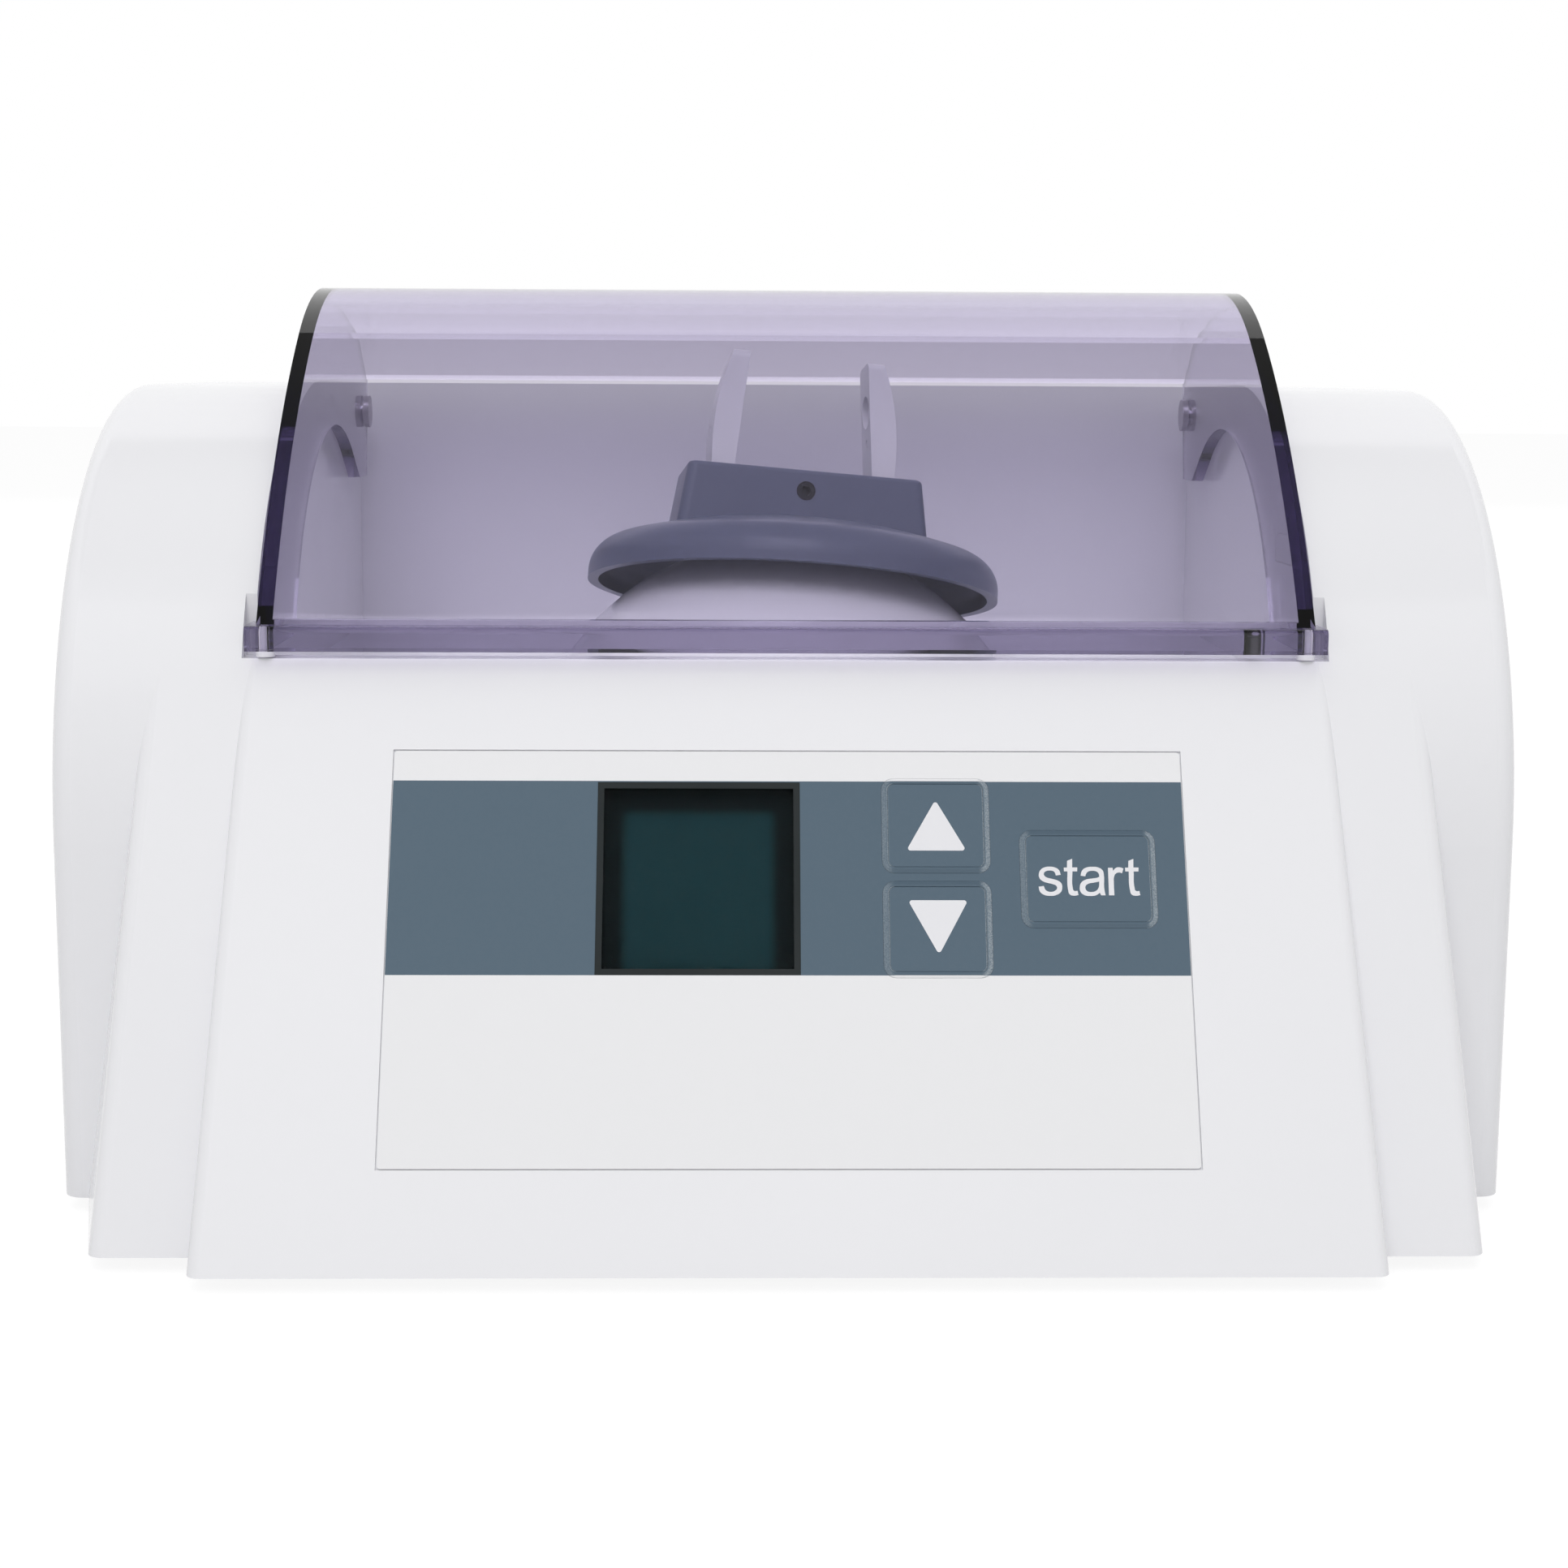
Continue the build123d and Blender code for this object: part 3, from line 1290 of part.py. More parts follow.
sensor_sink = 0.1         # sensor's face behind the chamber's side wall
sensor_flange = 2.0
sensor_body = 4.0
with BuildPart() as interlock_sensor:
    with BuildSketch(Plane.YZ.offset(chamber_half_width + sensor_sink)):
        with Locations((sensor_y, sensor_z)):
            RectangleRounded(sensor_length, sensor_height, sensor_corner)
    extrude(amount=wall - sensor_sink)
    with BuildSketch(Plane.YZ.offset(chamber_half_width + wall + flange_gap)):
        with Locations((sensor_y + sensor_flange + over, sensor_z)):
            RectangleRounded(sensor_length - 2 * sensor_flange - 1.5, sensor_height + 2 * sensor_flange,
                             sensor_corner)
    extrude(amount=sensor_body)
save(interlock_sensor.part, "interlock_sensor")

# ================================================================ mains inlet and switch
module_depth = 26.0
module_height = inlet_height + drawer_height
socket_z = inlet_z + drawer_height / 2
drawer_z = inlet_z - inlet_height / 2
socket_width = 24.0
socket_height = 16.4
socket_depth = 17.0
socket_corner = 4.5
drawer_width = 23.0
drawer_body = 7.0
drawer_depth = 20.0
drawer_gap = 0.1
blade_width = 2.0
blade_height = 4.0
blade_pitch = 7.0
blade_step = 2.0
blades = [
    (inlet_x - blade_pitch, socket_z - blade_step),
    (inlet_x + blade_pitch, socket_z - blade_step),
    (inlet_x, socket_z + blade_step),
]
blade_setback = 2.0
blade_tail = 6.0          # of the blades behind the inlet
module_corner = 0.8
flange_corner = 1.0
back_face = Plane(origin=(0, rear, 0), x_dir=(1, 0, 0), z_dir=(0, -1, 0))   # faces inward from the rear

with BuildPart() as power_inlet:
    with BuildSketch(back_face):
        with Locations((inlet_x, inlet_z)):
            RectangleRounded(inlet_width, module_height, module_corner)
    extrude(amount=module_depth)
    with BuildSketch(back_face.offset(wall + flange_gap)):
        with Locations((inlet_x, inlet_z)):
            RectangleRounded(inlet_width + 2 * flange_thickness, module_height + 2 * flange_thickness,
                             flange_corner)
    extrude(amount=flange_thickness)
    with BuildSketch(back_face):
        with Locations((inlet_x, socket_z)):
            Rectangle(socket_width, socket_height)
    extrude(amount=socket_depth, mode=Mode.SUBTRACT)
    for side in (-1, 1):
        with BuildSketch(back_face):
            with BuildLine():
                corner_x = inlet_x + side * socket_width / 2
                corner_z = socket_z + socket_height / 2
                Polyline((corner_x, corner_z), (corner_x - side * socket_corner, corner_z),
                         (corner_x, corner_z - socket_corner), close=True)
            make_face()
        extrude(amount=socket_depth)
    with BuildSketch(back_face):
        with Locations((inlet_x, drawer_z)):
            Rectangle(drawer_width + 2 * drawer_gap, drawer_body + 2 * drawer_gap)
    extrude(amount=drawer_depth + over, mode=Mode.SUBTRACT)
    with BuildSketch(back_face.offset(socket_depth)):
        with Locations(*blades):
            Rectangle(blade_width + running, blade_height + running)
    extrude(amount=module_depth, mode=Mode.SUBTRACT)
save(power_inlet.part, "power_inlet")

with BuildPart() as inlet_pins:
    with BuildSketch(back_face.offset(blade_setback)):
        with Locations(*blades):
            Rectangle(blade_width, blade_height)
    extrude(amount=module_depth + blade_tail - blade_setback)
save(inlet_pins.part, "inlet_pins")

fuse_radius = 2.5
fuse_length = 20.0
fuse_rows = (6.0, 13.5)
fuse_gap = 0.2
drawer_floor = 1.0
grip_width = 10.0
grip_height = 2.4
grip_depth = 1.6
fuse_bed = drawer_z - drawer_body / 2 + drawer_floor
with BuildPart() as fuse_drawer:
    with BuildSketch(back_face):
        with Locations((inlet_x, drawer_z)):
            Rectangle(drawer_width, drawer_body)
    extrude(amount=drawer_depth)
    # trough for the fuses, and a finger groove under the front edge
    with BuildSketch(Plane.XY.offset(fuse_bed)):
        for row in fuse_rows:
            with Locations((inlet_x, rear - row)):
                Rectangle(fuse_length + 2 * slip, 2 * (fuse_radius + fuse_gap))
    extrude(amount=drawer_body, mode=Mode.SUBTRACT)
    with BuildSketch(back_face):
        with Locations((inlet_x, drawer_z - drawer_body / 2)):
            Rectangle(grip_width, grip_height)
    extrude(amount=grip_depth, mode=Mode.SUBTRACT)
save(fuse_drawer.part, "fuse_drawer")

with BuildPart() as fuses:
    with BuildSketch(Plane.YZ.offset(inlet_x - fuse_length / 2)):
        with Locations(*[(rear - row, fuse_bed + fuse_radius) for row in fuse_rows]):
            Circle(fuse_radius)
    extrude(amount=fuse_length)
save(fuses.part, "fuses")

rocker_half = rocker_height / 2 - 2 * slip
rocker_pivot_y = rear - 5.5
rocker_axle = 1.2
rocker_axle_end = 0.7     # axle past the rocker's side
rocker_side_gap = 0.1
rocker_face = 4.0
rocker_dip = 1.0          # hollow of the rocker's face
rocker_back = 2.0
switch_depth = 22.0
switch_well = 11.0
switch_flange = 1.5
tab_pitch = 6.0
tab_width = 4.0
tab_thickness = 0.8
with BuildPart() as switch_body:
    with BuildSketch(back_face):
        with Locations((rocker_x, inlet_z)):
            RectangleRounded(rocker_width + 2 * rocker_rim, rocker_height + 2 * rocker_rim, flange_corner)
    extrude(amount=switch_depth)
    with BuildSketch(back_face.offset(wall + flange_gap)):
        with Locations((rocker_x, inlet_z)):
            RectangleRounded(rocker_width + 2 * (rocker_rim + switch_flange),
                             rocker_height + 2 * (rocker_rim + switch_flange), flange_corner)
    extrude(amount=flange_thickness)
    with BuildSketch(back_face):
        with Locations((rocker_x, inlet_z)):
            Rectangle(rocker_width + 4 * rocker_side_gap, rocker_height + 2 * rocker_side_gap)
    extrude(amount=switch_well, mode=Mode.SUBTRACT)
    with BuildSketch(Plane.YZ.offset(rocker_x - rocker_width / 2 - rocker_axle_end)):
        with Locations((rocker_pivot_y, inlet_z)):
            Circle(rocker_axle + running)
    extrude(amount=rocker_width + 2 * rocker_axle_end, mode=Mode.SUBTRACT)
    with BuildSketch(back_face.offset(switch_depth)):
        with Locations((rocker_x, inlet_z)):
            with GridLocations(1, tab_pitch, 1, 3):
                Rectangle(tab_width, tab_thickness)
    extrude(amount=blade_tail)
save(switch_body.part, "switch_body")

rest_turn = radians(rocker_angle / 2)
rocker_plane = Plane(
    origin=(rocker_x - rocker_width / 2 + rocker_side_gap, rocker_pivot_y, inlet_z),
    x_dir=(0, cos(rest_turn), sin(rest_turn)),
    z_dir=(1, 0, 0),
)
with BuildPart() as power_rocker:
    with BuildSketch(rocker_plane):
        with BuildLine():
            ThreePointArc((rocker_face, -rocker_half), (rocker_face - rocker_dip, 0.0),
                          (rocker_face, rocker_half))
            Polyline((rocker_face, rocker_half), (-rocker_back, rocker_half),
                     (-rocker_back, -rocker_half), (rocker_face, -rocker_half))
        make_face()
    extrude(amount=rocker_width - 2 * rocker_side_gap)
    axle_overhang = rocker_axle_end - rocker_side_gap / 2
    with BuildSketch(rocker_plane.offset(-axle_overhang)):
        Circle(rocker_axle)
    extrude(amount=rocker_width - 2 * rocker_side_gap + 2 * axle_overhang)
save(power_rocker.part, "power_rocker")

# ================================================================ power board
power_board_width = board_right - board_left
power_board_depth = board_rear - board_front
with BuildPart() as power_board:
    with BuildSketch(Plane.XY.offset(board_z)):
        with Locations((power_board_x, power_board_y)):
            RectangleRounded(power_board_width, power_board_depth, board_corner)
        with Locations(*standoffs):
            Circle(screw_radius + fit, mode=Mode.SUBTRACT)
    extrude(amount=board_thickness)
save(power_board.part, "power_board")

standoff_screw_length = 5.0
save(screws_at(Plane.XY.offset(board_top), standoffs, small_head_radius, small_head_height,
               small_screw_radius, standoff_screw_length, small_screw_drive), "standoff_screws")

# From the board's right edge: terminal block, transformer, heatsink. From its front: capacitors,
# then the transformer's coil.
terminal_width = 10.0
terminal_length = 30.0
terminal_height = 12.0
terminal_ways = 4
terminal_pitch = 7.0
terminal_hole = 2.2
wire_hole = 1.4
wire_hole_depth = 6.0
wire_rise = 5.0
terminal_edge = 6.0
terminal_x = board_right - terminal_edge
terminal_left = terminal_x - terminal_width / 2
terminal_right = terminal_x + terminal_width / 2
terminal_y = board_front + standoff_inset + small_head_radius + 3.5 + terminal_length / 2

capacitor_radius = 8.0
capacitor_height = 24.0
capacitor_edge = 1.0
capacitor_pitch = 18.0
capacitor_inset = 32.0
capacitor_setback = 15.0
capacitor_x = board_right - capacitor_inset
capacitor_y = board_front + capacitor_setback

core_width = 34.0
core_depth = 44.0
core_height = 36.0
core_chamfer = 1.0
core_window = 7.4
core_window_height = 20.4
core_window_x = 11.5
coil_width = 30.4
coil_depth = 51.0
coil_height = 20.0
coil_rise = 8.0
coil_inner_width = 15.8
coil_gap = 0.1
component_gap = 3.0
transformer_x = terminal_left - component_gap - core_width / 2
transformer_y = capacitor_y + capacitor_radius + component_gap + coil_depth / 2

fin_length = 7.0
fin_thickness = 1.6
fin_pitch = 6.0
fin_count = 7
heatsink_plate = 3.0
heatsink_length = 40.0
heatsink_height = 28.0
plate_overlap = 0.5       # fins sunk into the heatsink's plate
fin_x = transformer_x - core_width / 2 - slip - fin_length / 2
heatsink_x = fin_x - fin_length / 2 + plate_overlap - heatsink_plate / 2

with BuildPart() as transformer:
    with BuildSketch(Plane.XY.offset(board_top)):
        with Locations((transformer_x, transformer_y)):
            Rectangle(core_width, core_depth)
    extrude(amount=core_height)
    with BuildSketch(Plane.XZ.offset(-transformer_y - core_depth / 2)):
        with Locations((transformer_x, board_top + core_height / 2)):
            with GridLocations(2 * core_window_x, 1, 2, 1):
                Rectangle(core_window, core_window_height)
    extrude(amount=core_depth, mode=Mode.SUBTRACT)
    chamfer(transformer.edges().filter_by(Axis.Z).group_by(SortBy.LENGTH)[-1], length=core_chamfer)
save(transformer.part, "transformer")

with BuildPart() as transformer_coil:
    with BuildSketch(Plane.XY.offset(board_top + coil_rise)):
        with Locations((transformer_x, transformer_y)):
            Rectangle(coil_width, coil_depth)
            Rectangle(coil_inner_width, core_depth + 2 * coil_gap, mode=Mode.SUBTRACT)
    extrude(amount=coil_height)
save(transformer_coil.part, "transformer_coil")

with BuildPart() as capacitors:
    with BuildSketch(Plane.XY.offset(board_top)):
        with Locations((capacitor_x, capacitor_y), (capacitor_x - capacitor_pitch, capacitor_y)):
            Circle(capacitor_radius)
    extrude(amount=capacitor_height)
    fillet(capacitors.edges().group_by(Axis.Z)[-1], radius=capacitor_edge)
save(capacitors.part, "capacitors")

with BuildPart() as heatsink:
    with BuildSketch(Plane.XY.offset(board_top)):
        with Locations((heatsink_x, transformer_y)):
            Rectangle(heatsink_plate, heatsink_length)
        with Locations((fin_x, transformer_y)):
            with GridLocations(1, fin_pitch, 1, fin_count):
                Rectangle(fin_length, fin_thickness)
    extrude(amount=heatsink_height)
save(heatsink.part, "heatsink")

with BuildPart() as terminal_block:
    with BuildSketch(Plane.XY.offset(board_top)):
        with Locations((terminal_x, terminal_y)):
            Rectangle(terminal_width, terminal_length)
    extrude(amount=terminal_height)
    with BuildSketch(Plane.XY.offset(board_top + terminal_height)):
        with Locations((terminal_x - over, terminal_y)):
            with GridLocations(1, terminal_pitch, 1, terminal_ways):
                Circle(terminal_hole)
    extrude(amount=-component_height, mode=Mode.SUBTRACT)
    with BuildSketch(Plane.YZ.offset(terminal_right)):
        with Locations((terminal_y, board_top + wire_rise)):
            with GridLocations(terminal_pitch, 1, terminal_ways, 1):
                Circle(wire_hole)
    extrude(amount=-wire_hole_depth, mode=Mode.SUBTRACT)
save(terminal_block.part, "terminal_block")


def wire_along(points, radius):
    """A round wire through the given points, with easy bends at the corners."""
    with BuildPart() as wire:
        with BuildLine() as path:
            FilletPolyline(*points, radius=3 * radius)
        with BuildSketch(Plane(origin=path.line @ 0, z_dir=path.line % 0)):
            Circle(radius)
        sweep()
    return wire.part


wire_radius = 1.2
wire_gap = 0.1
lead_spread = 6.0
lead_drop = 16.0          # leads leave the motor below its axis
lead_clear = 16.0         # drop past the outer mounts
lead_margin = 4.0
lead_turns = (1.0, 5.5)
lead_y = [terminal_y - terminal_pitch / 2, terminal_y + terminal_pitch / 2]
lead_start_y = [wobble_y - lead_spread, wobble_y + lead_spread]
lead_z = (boss_foot + frame_slab_z) / 2    # halfway between the base plate and the frame's slab
with BuildPart() as motor_leads:
    for lead, start_y, turn_x in zip(lead_y, lead_start_y, lead_turns):
        add(wire_along([
            (motor_back + cap_thickness + wire_gap, start_y, wobble_z - lead_drop),
            (mount_x[1] + lead_clear, start_y, wobble_z - lead_drop),
            (mount_x[1] + lead_clear, start_y, lead_z),
            (slab_left + lead_margin - turn_x, start_y, lead_z),
            (slab_left - turn_x, lead, board_top + wire_rise),
            (terminal_right + wire_gap, lead, board_top + wire_rise),
        ], wire_radius))
save(motor_leads.part, "motor_leads")

ribbon_setback = board_gap + board_thickness + component_height + 0.8
ribbon_start = panel.from_local_coords(Vector(ribbon_u, ribbon_v, -ribbon_setback))
ribbon_landing_setback = 3.0
ribbon_landing = board_front + ribbon_landing_setback
ribbon_slack = 6.0
ribbon_rise = 4.0
ribbon_thickness = 1.0
with BuildPart() as ribbon_cable:
    with BuildSketch(Plane.YZ.offset(ribbon_u - ribbon_width / 2)):
        with BuildLine():
            Polyline(
                (ribbon_start.Y, ribbon_start.Z),
                (ribbon_landing - ribbon_slack, ribbon_start.Z),
                (ribbon_landing, board_top + ribbon_rise),
                (ribbon_landing, board_top + wire_gap),
                (ribbon_landing + ribbon_thickness, board_top + wire_gap),
                (ribbon_landing + ribbon_thickness, board_top + ribbon_rise),
                (ribbon_landing - ribbon_slack + ribbon_thickness, ribbon_start.Z + ribbon_thickness),
                (ribbon_start.Y, ribbon_start.Z + ribbon_thickness),
                close=True,
            )
        make_face()
    extrude(amount=ribbon_width)
save(ribbon_cable.part, "ribbon_cable")

landing_y = board_rear - standoff_inset
landing_rise = 14.0
landing_inset = 18.0
landing_pitch = 12.0
switch_landing_inset = 8.0
lead_straight = 5.0
inlet_back_y = rear - module_depth - blade_tail - wire_gap
switch_back_y = rear - switch_depth - blade_tail - wire_gap
mains_routes = [
    (blades[0], inlet_back_y, board_left + landing_inset),
    (blades[2], inlet_back_y, board_left + landing_inset + landing_pitch),
    ((rocker_x, inlet_z - tab_pitch), switch_back_y, board_right - switch_landing_inset),
]
with BuildPart() as mains_leads:
    for (start_x, start_z), back_y, landing_x in mains_routes:
        add(wire_along([
            (start_x, back_y, start_z),
            (start_x, back_y - lead_straight, start_z),
            (landing_x, landing_y, board_top + landing_rise),
            (landing_x, landing_y, board_top + wire_gap),
        ], wire_radius))
save(mains_leads.part, "mains_leads")
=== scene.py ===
import math

import bmesh
import bpy
from bpy.props import FloatProperty, FloatVectorProperty, PointerProperty
from mathutils import Matrix, Vector


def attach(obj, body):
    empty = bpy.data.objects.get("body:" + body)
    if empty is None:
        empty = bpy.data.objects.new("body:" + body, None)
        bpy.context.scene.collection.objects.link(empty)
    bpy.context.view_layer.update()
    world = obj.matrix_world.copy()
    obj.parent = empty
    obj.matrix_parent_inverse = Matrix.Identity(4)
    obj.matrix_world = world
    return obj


bl_info = {
    "name": "Dental amalgamator",
    "version": (1, 0, 0),
    "blender": (4, 5, 0),
    "location": "3D View > Sidebar > Amalgamator",
    "description": "Finishes, printed marks and studio for a capsule mixer with a tinted cover",
    "category": "Object",
}

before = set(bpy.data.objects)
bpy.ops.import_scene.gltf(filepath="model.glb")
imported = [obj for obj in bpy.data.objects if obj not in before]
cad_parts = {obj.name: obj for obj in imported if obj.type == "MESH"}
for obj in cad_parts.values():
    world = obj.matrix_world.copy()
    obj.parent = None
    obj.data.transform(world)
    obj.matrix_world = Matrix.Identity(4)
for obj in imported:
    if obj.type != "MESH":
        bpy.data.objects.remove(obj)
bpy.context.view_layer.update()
MM = 0.001

# The keypad panel's plane, as in the solids: X across, "up the slope" and outward.
PANEL_TILT = math.radians(27.4)
PANEL_FOOT = Vector((0.0, -0.110, 0.003))
UP_SLOPE = Vector((0.0, math.sin(PANEL_TILT), math.cos(PANEL_TILT)))
OUTWARD = Vector((0.0, -math.cos(PANEL_TILT), math.sin(PANEL_TILT)))

# The display's glass on the panel: two corners, then the width of the painted shade along its top and sides and
# how softly that ends.
DISPLAY_LOW = (-34.5 * MM, 53.3 * MM)
DISPLAY_HIGH = (2.1 * MM, 89.4 * MM)
DISPLAY_SHADE_WIDTH = 4.8 * MM
DISPLAY_SHADE_FADE = 1.2 * MM
WINDOW_FACE = -0.1 * MM     # the window lies this far below the film's face
BORDER_WIDTH = 1.2 * MM     # dark print round the window
PRINT_GAP = 0.01 * MM       # holds a print just clear of the face below it

# The arrows' corners and each key's middle and size on the panel, in millimetres.
ARROWS = {
    "up": ((26.62, 86.0), (21.2, 76.4), (32.04, 76.4)),
    "down": ((21.3, 67.1), (26.7, 57.0), (32.1, 67.1)),
}
KEYS = {
    "up": ((26.6, 81.2), (17.4, 15.8)),
    "down": ((26.6, 61.8), (17.4, 15.8)),
    "start": ((53.9, 71.2), (22.4, 16.2)),
}
KEY_CORNER = 1.2 * MM

# Section of the ridge round a key, from the key outward: shares of its width and of its height.
RIDGE_SECTION = ((0.02, 0.0), (0.013, 0.69), (-0.04, 0.79), (0.04, 0.96), (0.17, 1.0),
                 (0.33, 0.86), (0.53, 0.57), (0.73, 0.26), (0.87, 0.09), (1.0, 0.0))

# Where the painted highlight in specks lies, by the way that a face looks: 0 is left, 0.5 is straight out, 1 is
# right; it is stronger on the right flanks than on the left.
PAINTED_HIGHLIGHT_SIDES = ((0.0, 0.5), (0.38, 0.4), (0.49, 0.0), (0.51, 0.0), (0.6, 0.9), (1.0, 1.0))

NOISE_RANGE = (0.3, 0.7)    # nearly all values of a noise pattern lie between these
COVER_DEPTH = 3.0 * MM      # the depth of plastic at which the cover shows its full tint

# Studio. Each softbox has a place, a point that it looks at, a size and a power.
SOFTBOXES = {
    "front_softbox": ((-0.2, -1.6, 1.9), (0.0, 0.0, 0.06), (1.5, 1.5), 23.0),
    "top_softbox": ((0.1, 0.0, 1.7), (0.0, 0.0, 0.1), (2.0, 2.0), 8.0),
    "rear_softbox": ((0.0, 2.2, 1.05), (0.0, 0.0, 0.1), (4.0, 1.6), 11.0),
}
CEILING_HEIGHTS = (0.83, 0.85)    # sine of the elevation at which the mirrored ceiling starts, and is complete
CEILING_DARKNESS = 0.75     # share of the white that the ceiling loses
FLOOR_COLOUR = (0.80, 0.80, 0.80)
FLOOR_REACH = 6.0
FLOOR_SHINE = 1.12          # brightness of the light that lifts the floor to white
FLOOR_SHARE = 0.80          # how much of the floor is that light; the rest takes the shadow
SENSOR_WIDTH = 36.0         # millimetres, as camera makers count it
NEAREST_SEEN = 0.01


def colour_property(label, text, default):
    """A colour that the user can change in the sidebar."""
    return FloatVectorProperty(name=label, description=text, subtype="COLOR", size=3, min=0.0, max=1.0,
                               default=default)


def length_property(label, text, default):
    """A length in metres that the user can change in the sidebar."""
    return FloatProperty(name=label, description=text, default=default, min=0.0, unit="LENGTH", precision=5)


class AmalgamatorColours(bpy.types.PropertyGroup):
    shell: colour_property("Shell", "Glossy white moulding of the housing", (0.86, 0.86, 0.885))
    base: colour_property("Base plate", "Matte light grey of the underside", (0.62, 0.62, 0.63))
    band: colour_property("Keypad band", "Slate band printed on the keypad film", (0.080, 0.125, 0.168))
    # Painted highlight: pale specks on the keys' side flanks, brighter on the right than on the left, stand in
    # for the light that catches the ridges.
    painted_side_highlight: colour_property("Painted side highlight", "Pale specks where the slate print wears at the keys' sides",
                            (0.40, 0.45, 0.49))
    film: colour_property("Keypad film", "White ground of the keypad film", (0.86, 0.86, 0.875))
    marks: colour_property("Marks", "White print of the arrows and the word on the start key",
                           (0.83, 0.83, 0.86))
    glass: colour_property("Display glass", "Green-grey of the resting display", (0.009, 0.030, 0.036))
    tint: colour_property("Cover tint", "What the cover's plastic lets through", (0.705, 0.683, 0.765))
    cap: colour_property("Holder", "Slate plastic of the capsule holder's cap", (0.130, 0.150, 0.215))
    prongs: colour_property("Prongs", "White plastic of the two prongs", (0.80, 0.80, 0.82))
    rubber: colour_property("Rubber", "Feet and mounts", (0.030, 0.030, 0.033))


class AmalgamatorSizes(bpy.types.PropertyGroup):
    band_foot: length_property("Band foot", "Lower edge of the slate band, up the slope", 53.3 * MM)
    band_top: length_property("Band top", "Upper edge of the slate band, up the slope", 89.6 * MM)
    mark_depth: length_property("Mark depth", "Thickness of the printed marks", 0.03 * MM)
    mark_corner: length_property("Mark corner", "Rounding of the arrows' corners", 0.45 * MM)
    key_rise: length_property("Key rise", "How far the keys stand above the film", 0.3 * MM)
    word_left: length_property("Word left", "Left end of the word on the start key", 44.8 * MM)
    word_foot: length_property("Word foot", "Line that the word stands on, up the slope", 68.03 * MM)
    ridge_width: length_property("Ridge width", "Width of the soft ridge round each key", 1.1 * MM)
    ridge_height: length_property("Ridge height", "Height of the soft ridge round each key", 0.35 * MM)


class AmalgamatorStage(bpy.types.PropertyGroup):
    lens: FloatProperty(name="Lens", description="Focal length on a 36 mm sensor", default=61.49, min=10.0)
    pitch: FloatProperty(name="Pitch", description="How far the camera looks down", default=math.radians(8.9),
                         subtype="ANGLE")
    yaw: FloatProperty(name="Yaw", description="How far the camera turns to the right",
                       default=math.radians(1.172), subtype="ANGLE")
    roll: FloatProperty(name="Roll", description="How far the camera leans", default=math.radians(0.315),
                        subtype="ANGLE")
    place: FloatVectorProperty(name="Camera", description="Where the camera stands", subtype="TRANSLATION",
                               default=(-0.01059, -0.54923, 0.15731))
    world: FloatProperty(name="Room light", description="Strength of the even studio light", default=0.55,
                         min=0.0)


# ---------------------------------------------------------------- finishes
def new_finish(name, colour, roughness, metallic=0.0, ior=1.5):
    """A material with one Principled shader; returns the material, its nodes, its links and the shader."""
    material = bpy.data.materials.new(name)
    material.use_nodes = True
    nodes, links = material.node_tree.nodes, material.node_tree.links
    shader = nodes["Principled BSDF"]
    shader.inputs["Base Color"].default_value = (*colour, 1.0)
    shader.inputs["Roughness"].default_value = roughness
    shader.inputs["Metallic"].default_value = metallic
    shader.inputs["IOR"].default_value = ior
    return material, nodes, links, shader


def object_space(nodes):
    """Coordinates fixed to the piece, in metres."""
    for node in nodes:
        if node.type == "TEX_COORD":
            return node.outputs["Object"]
    return nodes.new("ShaderNodeTexCoord").outputs["Object"]


def noise(nodes, links, size, detail=3.0, stretch=None):
    """A noise pattern whose lumps are about size metres across."""
    texture = nodes.new("ShaderNodeTexNoise")
    texture.inputs["Scale"].default_value = 1.0 / size
    texture.inputs["Detail"].default_value = detail
    where = object_space(nodes)
    if stretch:
        mapping = nodes.new("ShaderNodeMapping")
        mapping.inputs["Scale"].default_value = stretch
        links.new(where, mapping.inputs["Vector"])
        where = mapping.outputs["Vector"]
    links.new(where, texture.inputs["Vector"])
    return texture.outputs["Fac"]


def ranged(nodes, links, value, start, end, low=0.0, high=1.0, interpolation="LINEAR"):
    """A value between start and end brought to between low and high."""
    node = nodes.new("ShaderNodeMapRange")
    node.interpolation_type = interpolation
    for socket, limit in (("From Min", start), ("From Max", end), ("To Min", low), ("To Max", high)):
        node.inputs[socket].default_value = limit
    links.new(value, node.inputs["Value"])
    return node.outputs["Result"]


def spread(nodes, links, value, low, high):
    """A noise value spread between low and high."""
    return ranged(nodes, links, value, *NOISE_RANGE, low, high)


def calculated(nodes, links, operation, first, second):
    """The result of one sum on two values; each is a number or a socket."""
    node = nodes.new("ShaderNodeMath")
    node.operation = operation
    for socket, value in zip(node.inputs, (first, second)):
        if isinstance(value, bpy.types.NodeSocket):
            links.new(value, socket)
        else:
            socket.default_value = value
    return node.outputs["Value"]


def blended(nodes, links, factor, first, second):
    """The first colour turning into the second with the factor; each is a colour or a socket."""
    mix = nodes.new("ShaderNodeMix")
    mix.data_type = "RGBA"
    links.new(factor, mix.inputs["Factor"])
    for socket, colour in ((mix.inputs["A"], first), (mix.inputs["B"], second)):
        if isinstance(colour, bpy.types.NodeSocket):
            links.new(colour, socket)
        else:
            socket.default_value = (*colour, 1.0)
    return mix.outputs["Result"]


def mixed_shaders(nodes, links, factor, first, second, surface):
    """Puts a mix of two shaders into a surface socket."""
    mix = nodes.new("ShaderNodeMixShader")
    for socket, source in zip(mix.inputs, (factor, first, second)):
        links.new(source, socket)
    links.new(mix.outputs["Shader"], surface)


